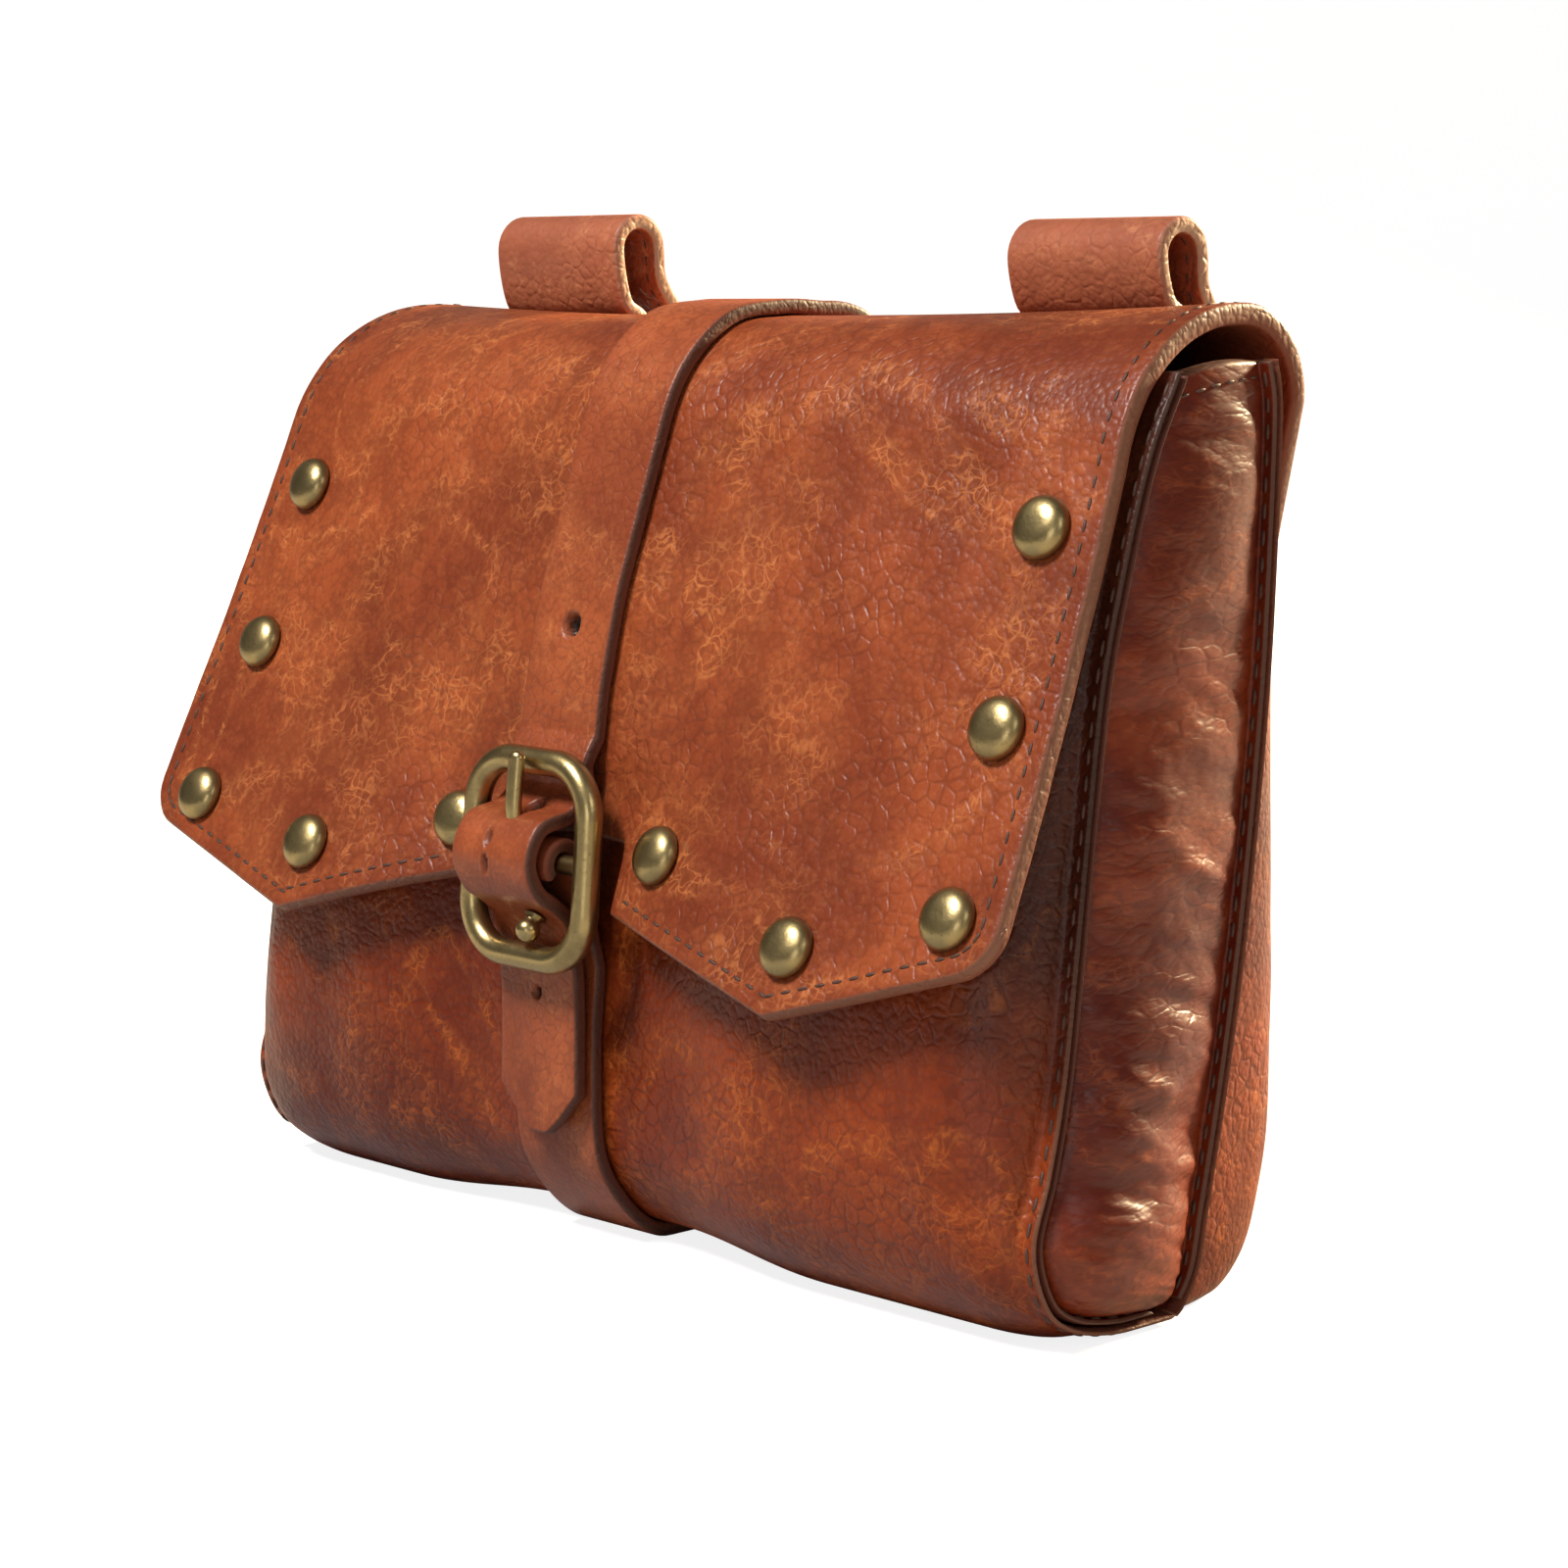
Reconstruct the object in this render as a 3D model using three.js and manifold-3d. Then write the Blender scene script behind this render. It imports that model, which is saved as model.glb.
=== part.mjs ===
// A leather belt pouch with a strapped and buckled flap, in millimetres.
// +X is to the right as seen from the front, -Y is the front and +Z is up.
// The pouch stands on the plane Z = 0, centred under its own outline.
import * as THREE from 'three';
import { mergeVertices } from 'three/addons/utils/BufferGeometryUtils.js';
import Module from 'manifold-3d';

const wasm = await Module();
wasm.setup();

// Leather thicknesses and the clearance between neighbouring pieces
const GAP = 0.3;
const PANEL_WALL = 2.4;
const GUSSET_WALL = 2.0;
const FLAP_WALL = 3.2;
const STRAP_WALL = 2.4;
const BUCKLE_STRAP_WALL = 2.2;
const LOOP_WALL = 2.5;

// How far a cutter reaches past what it cuts
const CUT_REACH = 1;

// Body: outer sizes, rounded edges and the raised seams at the gussets. The flap is sewn
// on off centre, so the body reaches less far to the left of it than to the right.
const BODY_LEFT = 81;
const BODY_RIGHT = 90;
const BODY_HEIGHT = 136;
const BODY_DEPTH = 63;
const BODY_BACK = -2.5;
const FRONT_EDGE_RADIUS = 13;
const BACK_EDGE_RADIUS = 5;
const SEAM_LIP = 1.0;
const SEAM_HEIGHT = 3.0;
const GUSSET_BULGE = 7;
const HEM_RISE = 5;

// The strap draws the body in at the middle
const PINCH_DEPTH = 5;
const PINCH_REACH = 48;
const PINCH_MARGIN = 3;

// Flap: its bends from the back over the crest to the front, and its outline. Its top is
// flush with the body's right side and stands over the left one. Its front lies along the
// front panel, at a clearance and spread off it by a few degrees.
const CREST_RISE = 7.5;
const CREST_LEAN = 1.9;
const LEAN_FROM = 60;
const FLAP_OVERHANG = 9;
const FLAP_BACK_DROP = 36;
const FLAP_BACK_TAPER = 8;
const REAR_BEND_RADIUS = 14;
const CREST_FLAT = 2;
const FLAP_CLEARANCE = 1.13;
const FLAP_SPREAD = 0.92;
const FRONT_CURL = -6;
const FLAP_DROP = 122.4;
const FLAP_FLARE_LEFT = 11.5;
const FLAP_FLARE_RIGHT = 3.5;
const FLAP_FLARE_CURVE = 0.75;
const FLAP_CORNER_RADIUS = 6;
const FLAP_CROWN = 4;
const FLAP_DENT = 4.8;
const FLAP_DENT_REACH = 46;

// Closure strap, with the buckle hanging on the strap that wraps the base. Its tail and
// the tail's hole are measured down from the buckle's centre bar.
const STRAP_X = -3.6;
const STRAP_WIDTH = 20;
const STRAP_TAIL_WIDTH = 17.6;
const BUCKLE_STRAP_WIDTH = 18.4;
const STRAP_BACK_DROP = 26;
const STRAP_ON_FLAP = 85.8;
const STRAP_HOLE_RADIUS = 1.9;
const STRAP_HOLE_ALONG = 75;
const TAIL_HOLE_RADIUS = 1.0;
const TAIL_HOLE_BELOW = 21;
const TAIL_LENGTH = 43;
const TAIL_CLEARANCE = 0.9;
const BUCKLE_STRAP_BACK_ROW = 3.2;

// Buckle: its centre bar hangs below the strap's last place on the flap, in front of the
// drawn-in panel
const BUCKLE_X = -2.4;
const BUCKLE_WIDTH = 30;
const BUCKLE_HEIGHT = 34;
const BUCKLE_RADIUS = 10;
const BUCKLE_ROD = 4.2;
const BAR_DROP = 17.91;
const BAR_CLEARANCE = 7.7;
const BUCKLE_TILT = 4.2;
const BAR_RADIUS = 1.5;
const PRONG_RADIUS = 1.1;
const PRONG_CLEARANCE = 0.4;
const PRONG_LIFT = 0.2;
const PRONG_BOW = 0.6;
const FOLD_WRAP = 220;
const SLOT_WIDTH = 3.4;

// Rivets, and the small stud below the buckle's centre bar
const RIVET_RADIUS = 4.6;
const RIVET_HEIGHT = 2.8;
const SHANK_RADIUS = 1.4;
const WASHER_RADIUS = 3.2;
const WASHER_WALL = 0.8;
const STUD_RADIUS = 1.9;
const STUD_SHANK_RADIUS = 0.8;
const STUD_BELOW = 7;

// Belt loops, measured up and down from the crest
const LOOP_WIDTH = 30.5;
const LOOP_SPACING = 119;
const LOOP_SHIFT = -4.7;
const LOOP_RISE_LEFT = 14.7;
const LOOP_RISE_RIGHT = 12.4;
const LOOP_DROP = 45.5;
const LOOP_DEPTH = 11.5;
const LOOP_FORWARD = 10;
const LOOP_BELLY = 4.85;

// The front panel from its top edge down, round the base and back to the base seam.
// out and up place its outer face, seamOut and seamUp the seam at the gusset, as shares
// of the body's depth and height. in and lift are shares of the strap's pull on it.
const FRONT_ROWS = [
  { out: 0.476, up: 0.972, seamOut: 0.43, seamUp: 0.985, in: 0, lift: 0 },
  { out: 0.56, up: 0.905, seamOut: 0.525, seamUp: 0.905, in: 0, lift: 0 },
  { out: 0.662, up: 0.795, seamOut: 0.61, seamUp: 0.79, in: 0, lift: 0 },
  { out: 0.759, up: 0.676, seamOut: 0.675, seamUp: 0.676, in: 0.1, lift: 0 },
  { out: 0.854, up: 0.559, seamOut: 0.715, seamUp: 0.544, in: 0.45, lift: 0 },
  { out: 0.933, up: 0.441, seamOut: 0.75, seamUp: 0.412, in: 0.8, lift: 0 },
  { out: 0.984, up: 0.324, seamOut: 0.786, seamUp: 0.287, in: 1, lift: 0 },
  { out: 1.0, up: 0.213, seamOut: 0.833, seamUp: 0.191, in: 1, lift: 0 },
  { out: 0.968, up: 0.118, seamOut: 0.881, seamUp: 0.118, in: 0.7, lift: 0.3 },
  { out: 0.873, up: 0.038, seamOut: 0.825, seamUp: 0.05, in: 0.5, lift: 1 },
  { out: 0.722, up: 0, seamOut: 0.706, seamUp: 0.022, in: 0.2, lift: 1 },
  { out: 0.563, up: 0, seamOut: 0.571, seamUp: 0.014, in: 0, lift: 1 },
  { out: 0.421, up: 0, seamOut: 0.421, seamUp: 0.014, in: 0, lift: 1 },
];

// The back panel from its top edge down, round the base and forward to the base seam
const BACK_ROWS = [
  { out: 0.05, up: 0.975, seamOut: 0.12, seamUp: 0.995, in: 0, lift: 0 },
  { out: 0, up: 0.93, seamOut: 0.1, seamUp: 0.938, in: 0, lift: 0 },
  { out: 0, up: 0.721, seamOut: 0.12, seamUp: 0.721, in: 0, lift: 0 },
  { out: -0.03, up: 0.441, seamOut: 0.185, seamUp: 0.441, in: 0, lift: 0 },
  { out: -0.045, up: 0.235, seamOut: 0.262, seamUp: 0.235, in: 0, lift: 0 },
  { out: -0.015, up: 0.118, seamOut: 0.318, seamUp: 0.118, in: 0, lift: 0.1 },
  { out: 0.045, up: 0.045, seamOut: 0.349, seamUp: 0.055, in: 0, lift: 0.5 },
  { out: 0.16, up: 0.006, seamOut: 0.389, seamUp: 0.025, in: 0, lift: 0.9 },
  { out: 0.294, up: 0, seamOut: 0.405, seamUp: 0.017, in: 0, lift: 1 },
  { out: 0.416, up: 0, seamOut: 0.416, seamUp: 0.014, in: 0, lift: 1 },
];

// The gusset's folds from its hem down: the row of the front seam, the row of the back
// seam that it meets, its bulge as a share of the named bulge, and how far forward of
// the middle the bulge lies as a share of the width.
const GUSSET_ROWS = [
  { front: 0, back: 0, bulge: 0.2, lean: 0 },
  { front: 1, back: 0.95, bulge: 0.35, lean: 0 },
  { front: 2, back: 1.58, bulge: 0.55, lean: 0 },
  { front: 3, back: 2.1, bulge: 0.4, lean: 0.02 },
  { front: 4, back: 2.65, bulge: 0.62, lean: 0.04 },
  { front: 5, back: 3.15, bulge: 0.5, lean: 0.08 },
  { front: 6, back: 3.78, bulge: 0.8, lean: 0.12 },
  { front: 7, back: 4.35, bulge: 0.72, lean: 0.16 },
  { front: 8, back: 4.85, bulge: 1, lean: 0.18 },
  { front: 9, back: 5.5, bulge: 0.9, lean: 0.12 },
  { front: 10, back: 6.3, bulge: 0.6, lean: 0.06 },
  { front: 11, back: 6.8, bulge: 0.35, lean: 0 },
  { front: 11.5, back: 7.2, bulge: 0.2, lean: 0 },
];

// How full the flap is along its length: shares of the drop and of the named crown
// and dent
const FULLNESS_ROWS = [
  { along: -0.18, crown: 0, dent: 0 },
  { along: -0.08, crown: -0.32, dent: 0 },
  { along: 0, crown: -0.58, dent: 0 },
  { along: 0.08, crown: -0.2, dent: 0 },
  { along: 0.17, crown: 0.7, dent: 0 },
  { along: 0.27, crown: 1, dent: 0 },
  { along: 0.5, crown: 0.9, dent: 0 },
  { along: 0.63, crown: 0.45, dent: 0.05 },
  { along: 0.71, crown: 0.1, dent: 0.25 },
  { along: 0.78, crown: 0, dent: 0.75 },
  { along: 0.87, crown: 0, dent: 0.95 },
  { along: 1.1, crown: 0, dent: 1 },
];

// The flap's lower edge from its side to the middle, as shares of its half width and, for
// its left and its right half, of its drop: corner, lobe, notch and the cut for the buckle
const OUTLINE_ROWS = [
  { side: 1, left: 0.888, right: 0.897 },
  { side: 0.58, left: 0.988, right: 1 },
  { side: 0.15, left: 0.872, right: 0.91 },
  { side: 0.135, left: 0.82, right: 0.82 },
  { side: 0, left: 0.81, right: 0.81 },
];

// The rivets of each side: how far out, as shares of the flap's half width at its top, and
// how far down, as shares of its drop
const RIVET_ROWS = [
  { left: 0.92, leftDrop: 0.4, right: 0.913, rightDrop: 0.401 },
  { left: 0.933, leftDrop: 0.632, right: 0.925, rightDrop: 0.63 },
  { left: 0.968, leftDrop: 0.856, right: 0.935, rightDrop: 0.85 },
  { left: 0.623, leftDrop: 0.895, right: 0.622, rightDrop: 0.915 },
  { left: 0.272, leftDrop: 0.826, right: 0.25, rightDrop: 0.832 },
];

// The free part of the closure strap, as shares of the buckle's height: forward of the
// centre bar and above it, from behind the top bar, over the centre bar, to behind the
// bottom bar
const STRAP_WAY = [
  { forward: -0.156, above: 0.42 },
  { forward: -0.162, above: 0.309 },
  { forward: -0.07, above: 0.21 },
  { forward: 0.112, above: 0.16 },
  { forward: 0.182, above: 0.02 },
  { forward: 0.128, above: -0.12 },
  { forward: 0.025, above: -0.195 },
  { forward: -0.045, above: -0.265 },
];

// The prong's front part: its height as a share of the way from the centre bar to the top
// bar, and how far forward it bows as a share of the named bow
const PRONG_ROWS = [
  { up: 0.45, bow: 1 },
  { up: 0.75, bow: 0.67 },
  { up: 0.98, bow: 0 },
  { up: 1.127, bow: -0.33 },
];

// The rear layer of a belt loop from under its top down to its flat foot: behind the foot
// as a share of the named belly, and above it as a share of the loop's upright height
const LOOP_ROWS = [
  { behind: -0.75, above: 0.91 },
  { behind: -0.24, above: 0.836 },
  { behind: 0.67, above: 0.742 },
  { behind: 1, above: 0.62 },
  { behind: 0.88, above: 0.47 },
  { behind: 0.2, above: 0.32 },
  { behind: 0, above: 0.207 },
];

const CREST_HEIGHT = BODY_HEIGHT + CREST_RISE;
const LOOP_FOOT = CREST_HEIGHT - LOOP_DROP;
const FLAP_BACK = BODY_BACK + GAP + FLAP_WALL;
const REAR_BEND_LENGTH = REAR_BEND_RADIUS * Math.PI / 2;

const LEATHER = new THREE.Color(0x9c4a24);
const pouch = new THREE.Group();
pouch.name = 'belt_pouch';

function leather(colour) {
  return new THREE.MeshStandardMaterial({ color: colour, roughness: 0.48, metalness: 0 });
}

function brass() {
  return new THREE.MeshStandardMaterial({ color: 0x9a7f45, roughness: 0.34, metalness: 1 });
}

// Shape helpers

function smoothThrough(stations, values) {
  // A cubic curve through the values that never swings past them
  const count = values.length;
  const rise = [];
  for (let i = 0; i < count - 1; i += 1) {
    rise.push((values[i + 1] - values[i]) / (stations[i + 1] - stations[i]));
  }
  const slope = values.map((_, i) => {
    if (i === 0) return rise[0];
    if (i === count - 1) return rise[count - 2];
    if (rise[i - 1] * rise[i] <= 0) return 0;
    return 2 * rise[i - 1] * rise[i] / (rise[i - 1] + rise[i]);
  });
  return (at) => {
    let i = 0;
    while (i < count - 2 && at > stations[i + 1]) i += 1;
    const span = stations[i + 1] - stations[i];
    const t = THREE.MathUtils.clamp((at - stations[i]) / span, 0, 1);
    const held = 1 - t;
    return values[i] * (1 + 2 * t) * held * held
      + slope[i] * span * t * held * held
      + values[i + 1] * t * t * (3 - 2 * t)
      - slope[i + 1] * span * t * t * held;
  };
}

function columnsOf(rows, names, stations) {
  const curves = {};
  for (const name of names) {
    curves[name] = smoothThrough(stations, rows.map((row) => row[name]));
  }
  return curves;
}

function spread(from, to, steps) {
  return Array.from({ length: steps + 1 }, (_, i) => from + (to - from) * i / steps);
}

function meshGeometry(positions, faces) {
  const geometry = new THREE.BufferGeometry();
  geometry.setAttribute('position', new THREE.Float32BufferAttribute(positions, 3));
  geometry.setIndex(faces);
  return facingOut(geometry);
}

function facingOut(geometry) {
  const at = geometry.attributes.position;
  const faces = geometry.index.array;
  const [a, b, c] = [new THREE.Vector3(), new THREE.Vector3(), new THREE.Vector3()];
  let volume = 0;
  for (let i = 0; i < faces.length; i += 3) {
    a.fromBufferAttribute(at, faces[i]);
    b.fromBufferAttribute(at, faces[i + 1]);
    c.fromBufferAttribute(at, faces[i + 2]);
    volume += a.dot(b.cross(c));
  }
  if (volume < 0) {
    for (let i = 0; i < faces.length; i += 3) {
      [faces[i + 1], faces[i + 2]] = [faces[i + 2], faces[i + 1]];
    }
  }
  return geometry;
}

function wallBetween(outer, inner) {
  // A closed wall between two grids of points that have the same rows and columns
  const rows = outer.length;
  const columns = outer[0].length;
  const positions = [];
  for (const grid of [outer, inner]) {
    for (const row of grid) {
      for (const point of row) positions.push(point.x, point.y, point.z);
    }
  }
  const o = (r, c) => r * columns + c;
  const i = (r, c) => rows * columns + r * columns + c;
  const faces = [];
  const quad = (p, q, r, s) => faces.push(p, q, r, p, r, s);
  for (let r = 0; r < rows - 1; r += 1) {
    for (let c = 0; c < columns - 1; c += 1) {
      quad(o(r, c), o(r, c + 1), o(r + 1, c + 1), o(r + 1, c));
      quad(i(r, c), i(r + 1, c), i(r + 1, c + 1), i(r, c + 1));
    }
    quad(o(r, 0), o(r + 1, 0), i(r + 1, 0), i(r, 0));
    quad(o(r, columns - 1), i(r, columns - 1), i(r + 1, columns - 1), o(r + 1, columns - 1));
  }
  for (let c = 0; c < columns - 1; c += 1) {
    quad(o(0, c), i(0, c), i(0, c + 1), o(0, c + 1));
    quad(o(rows - 1, c), o(rows - 1, c + 1), i(rows - 1, c + 1), i(rows - 1, c));
  }
  return meshGeometry(positions, faces);
}

function rodAlong(path, radius, sides, closed) {
  // A round rod whose middle follows path, a list of {point, side, up} frames
  const positions = [];
  for (const { point, side, up } of path) {
    for (let k = 0; k < sides; k += 1) {
      const turn = 2 * Math.PI * k / sides;
      const rim = point.clone()
        .addScaledVector(side, radius * Math.cos(turn))
        .addScaledVector(up, radius * Math.sin(turn));
      positions.push(rim.x, rim.y, rim.z);
    }
  }
  const faces = [];
  const count = path.length;
  const last = closed ? count : count - 1;
  for (let r = 0; r < last; r += 1) {
    const next = (r + 1) % count;
    for (let k = 0; k < sides; k += 1) {
      const turned = (k + 1) % sides;
      const [p, q] = [r * sides + k, r * sides + turned];
      const [s, t] = [next * sides + k, next * sides + turned];
      faces.push(p, q, t, p, t, s);
    }
  }
  if (!closed) {
    for (let k = 1; k < sides - 1; k += 1) {
      const end = (count - 1) * sides;
      faces.push(0, k + 1, k, end, end + k, end + k + 1);
    }
  }
  return meshGeometry(positions, faces);
}

function turned(profile, sides) {
  // A round solid about +Z from rows of radius and height that start and end on the axis
  const points = profile.map(([radius, height]) => new THREE.Vector2(radius, height));
  const geometry = new THREE.LatheGeometry(points, sides);
  geometry.rotateX(Math.PI / 2);
  return geometry;
}

function bare(geometry) {
  geometry.deleteAttribute('normal');
  geometry.deleteAttribute('uv');
  return mergeVertices(geometry, 1e-4);
}

function toSolid(geometry) {
  const merged = facingOut(bare(geometry));
  return new wasm.Manifold(new wasm.Mesh({
    numProp: 3,
    vertProperties: new Float32Array(merged.attributes.position.array),
    triVerts: new Uint32Array(merged.index.array),
  }));
}

function fromSolid(solid) {
  const mesh = solid.getMesh();
  return meshGeometry(Array.from(mesh.vertProperties), Array.from(mesh.triVerts));
}

function cutBy(geometry, cutters) {
  let solid = toSolid(geometry);
  for (const cutter of cutters) solid = solid.subtract(toSolid(cutter));
  return fromSolid(solid);
}

function standing(geometry, point, axis) {
  // Places a solid made about +Z so that its axis points along axis from point
  const upright = new THREE.Vector3(0, 0, 1);
  const turn = new THREE.Quaternion().setFromUnitVectors(upright, axis);
  geometry.applyQuaternion(turn);
  geometry.translate(point.x, point.y, point.z);
  return geometry;
}

function flapSide(x) {
  return x < 0 ? BODY_LEFT + FLAP_OVERHANG : BODY_RIGHT;
}

function leaned(geometry) {
  // The pouch's upper part is drawn up toward the right and down toward the left
  const at = geometry.attributes.position;
  for (let i = 0; i < at.count; i += 1) {
    const share = THREE.MathUtils.smoothstep(at.getZ(i), LEAN_FROM, CREST_HEIGHT);
    at.setZ(i, at.getZ(i) + CREST_LEAN * share * at.getX(i) / flapSide(at.getX(i)));
  }
  return geometry;
}

function addPiece(name, geometry, material) {
  leaned(geometry);
  const mesh = new THREE.Mesh(geometry, material);
  mesh.name = name;
  pouch.add(mesh);
}

const inPlane = (y, z) => new THREE.Vector3(0, y, z);
const towardRight = new THREE.Vector3(1, 0, 0);

// Body panels

function panelCurves(rows) {
  const stations = rows.map((_, i) => i);
  const names = ['out', 'up', 'seamOut', 'seamUp', 'in', 'lift'];
  return columnsOf(rows, names, stations);
}

const FRONT = panelCurves(FRONT_ROWS);
const BACK = panelCurves(BACK_ROWS);
const BASE_LIFT = BUCKLE_STRAP_WALL + GAP;
const EDGE_TURNS = [30, 62];

function pinchAt(x) {
  const from = STRAP_WIDTH / 2 + PINCH_MARGIN;
  const away = THREE.MathUtils.clamp((Math.abs(x - STRAP_X) - from) / (PINCH_REACH - from), 0, 1);
  return 0.5 + 0.5 * Math.cos(Math.PI * away);
}

function outerPoint(curves, at, pinch) {
  const out = curves.out(at) * BODY_DEPTH - curves.in(at) * PINCH_DEPTH * pinch;
  const up = curves.up(at) * BODY_HEIGHT + curves.lift(at) * BASE_LIFT * pinch;
  return inPlane(BODY_BACK - out, up);
}

function seamPoint(curves, at) {
  const back = BODY_BACK - curves.seamOut(at) * BODY_DEPTH;
  return inPlane(back, curves.seamUp(at) * BODY_HEIGHT);
}

function normalAlong(curve, at, toward) {
  // The in-plane normal of a curve at one station, on the side of a given direction
  const step = 0.02;
  const way = curve(at + step).sub(curve(at - step));
  const normal = inPlane(way.z, -way.y).normalize();
  return normal.dot(toward) < 0 ? normal.negate() : normal;
}

function seamNormal(curves, at) {
  const toward = outerPoint(curves, at, 0).sub(seamPoint(curves, at));
  return normalAlong((t) => seamPoint(curves, t), at, toward);
}

function panelNormal(curves, at, pinch) {
  const toward = outerPoint(curves, at, 0).sub(seamPoint(curves, at));
  return normalAlong((t) => outerPoint(curves, t, pinch), at, toward);
}

function panelSection(curves, at, edgeRadius, middle) {
  // One row of a panel's outer and inner points: lip, rounded edge, face, edge, lip
  const seam = seamPoint(curves, at);
  const aside = seamNormal(curves, at);
  const lipOuter = seam.clone().addScaledVector(aside, GAP / 2 + SEAM_LIP);
  const lipInner = seam.clone().addScaledVector(aside, GAP / 2);
  const face = outerPoint(curves, at, 0);
  const faceInner = face.clone().addScaledVector(panelNormal(curves, at, 0), -PANEL_WALL);
  // Distances are measured from the body's side
  const edge = [
    { x: SEAM_HEIGHT, inX: SEAM_HEIGHT, o: lipOuter, i: lipInner },
    { x: SEAM_LIP / 2, inX: -PANEL_WALL, o: lipOuter, i: lipInner },
  ];
  for (const degrees of EDGE_TURNS) {
    const turn = THREE.MathUtils.degToRad(degrees);
    edge.push({
      x: edgeRadius * (Math.cos(turn) - 1),
      inX: (edgeRadius - PANEL_WALL) * Math.cos(turn) - edgeRadius,
      o: lipOuter.clone().lerp(face, Math.sin(turn)),
      i: lipInner.clone().lerp(faceInner, Math.sin(turn)),
    });
  }
  const outer = [];
  const inner = [];
  const place = (point, x) => new THREE.Vector3(x, point.y, point.z);
  for (const spot of edge) {
    outer.push(place(spot.o, -BODY_LEFT - spot.x));
    inner.push(place(spot.i, -BODY_LEFT - spot.inX));
  }
  for (const x of middle) {
    const pinch = pinchAt(x);
    const on = outerPoint(curves, at, pinch);
    outer.push(place(on, x));
    on.addScaledVector(panelNormal(curves, at, pinch), -PANEL_WALL);
    inner.push(place(on, x));
  }
  for (const spot of edge.reverse()) {
    outer.push(place(spot.o, BODY_RIGHT + spot.x));
    inner.push(place(spot.i, BODY_RIGHT + spot.inX));
  }
  return { outer, inner };
}

function middleColumns(edgeRadius, steps) {
  // Columns of the flat of a panel, with two at the sides of the strap's flat band
  const band = STRAP_WIDTH / 2 + PINCH_MARGIN;
  return [
    ...spread(edgeRadius - BODY_LEFT, STRAP_X - band, steps),
    ...spread(STRAP_X + band, BODY_RIGHT - edgeRadius, steps),
  ];
}

function panel(curves, stations, edgeRadius, steps) {
  const middle = middleColumns(edgeRadius, steps);
  const sections = stations.map((at) => panelSection(curves, at, edgeRadius, middle));
  return wallBetween(sections.map((row) => row.outer), sections.map((row) => row.inner));
}

const FRONT_STATIONS = spread(0, FRONT_ROWS.length - 1, 2 * (FRONT_ROWS.length - 1));
const BACK_STATIONS = spread(0, BACK_ROWS.length - 1, 2 * (BACK_ROWS.length - 1));

// Gussets

const GUSSET = columnsOf(
  GUSSET_ROWS,
  ['back', 'bulge', 'lean'],
  GUSSET_ROWS.map((row) => row.front),
);
const GUSSET_SHARES = [0.08, 0.24, 0.42, 0.6, 0.78, 0.92];
const GUSSET_END = GUSSET_ROWS[GUSSET_ROWS.length - 1].front;

function gussetSection(at) {
  // One fold's outer and inner points, with distances measured from the body's side
  const frontAside = seamNormal(FRONT, at);
  const backAt = GUSSET.back(at);
  const backAside = seamNormal(BACK, backAt);
  const off = (curves, t, aside, far) => seamPoint(curves, t).addScaledVector(aside, -far);
  const lip = GAP / 2 + SEAM_LIP;
  const front = off(FRONT, at, frontAside, lip);
  const back = off(BACK, backAt, backAside, lip);
  const foot = SEAM_LIP / 2;
  const outer = [{ x: SEAM_HEIGHT, p: front }, { x: foot, p: front }];
  const inner = [
    { x: SEAM_HEIGHT, p: off(FRONT, at, frontAside, GAP / 2) },
    { x: -GUSSET_WALL, p: off(FRONT, at, frontAside, GAP / 2) },
  ];
  const hem = Math.max(0, 1 - at) * HEM_RISE;
  for (const share of GUSSET_SHARES) {
    const leaned = share ** (1 - 2 * GUSSET.lean(at));
    const bulge = GUSSET_BULGE * GUSSET.bulge(at) * Math.sin(Math.PI * leaned) ** 0.7;
    const p = front.clone().lerp(back, share);
    p.z += hem * Math.sin(Math.PI * share);
    outer.push({ x: foot + bulge, p });
    inner.push({ x: foot + bulge - GUSSET_WALL, p });
  }
  outer.push({ x: foot, p: back }, { x: SEAM_HEIGHT, p: back });
  inner.push(
    { x: -GUSSET_WALL, p: off(BACK, backAt, backAside, GAP / 2) },
    { x: SEAM_HEIGHT, p: off(BACK, backAt, backAside, GAP / 2) },
  );
  return { outer, inner };
}

function gusset(side) {
  const halfWidth = side < 0 ? BODY_LEFT : BODY_RIGHT;
  const stations = spread(0, GUSSET_END, 2 * Math.round(GUSSET_END));
  const sections = stations.map(gussetSection);
  const placed = (row) => row.map(({ x, p }) => (
    new THREE.Vector3(side * (halfWidth + x), p.y, p.z)
  ));
  return wallBetween(
    sections.map((row) => placed(row.outer)),
    sections.map((row) => placed(row.inner)),
  );
}

// Flap

function bentPath(start, rows) {
  // A path of straight and evenly bent stretches, each with a length and a turn
  const parts = [];
  let [from, heading, begin] = [start, 0, 0];
  for (const { length, turn } of rows) {
    const part = { from, heading, begin, length, bend: THREE.MathUtils.degToRad(turn) / length };
    parts.push(part);
    from = pointOnPart(part, length);
    heading += part.bend * length;
    begin += length;
  }
  return (along) => {
    let part = parts[0];
    for (const candidate of parts) {
      if (along >= candidate.begin) part = candidate;
    }
    const far = along - part.begin;
    const turned = part.heading + part.bend * far;
    return { point: pointOnPart(part, far), normal: inPlane(Math.cos(turned), Math.sin(turned)) };
  };
}

function pointOnPart({ from, heading, bend }, far) {
  if (Math.abs(bend) < 1e-9) {
    return inPlane(from.y - far * Math.sin(heading), from.z + far * Math.cos(heading));
  }
  const turned = heading + bend * far;
  return inPlane(
    from.y + (Math.cos(turned) - Math.cos(heading)) / bend,
    from.z + (Math.sin(turned) - Math.sin(heading)) / bend,
  );
}

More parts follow.
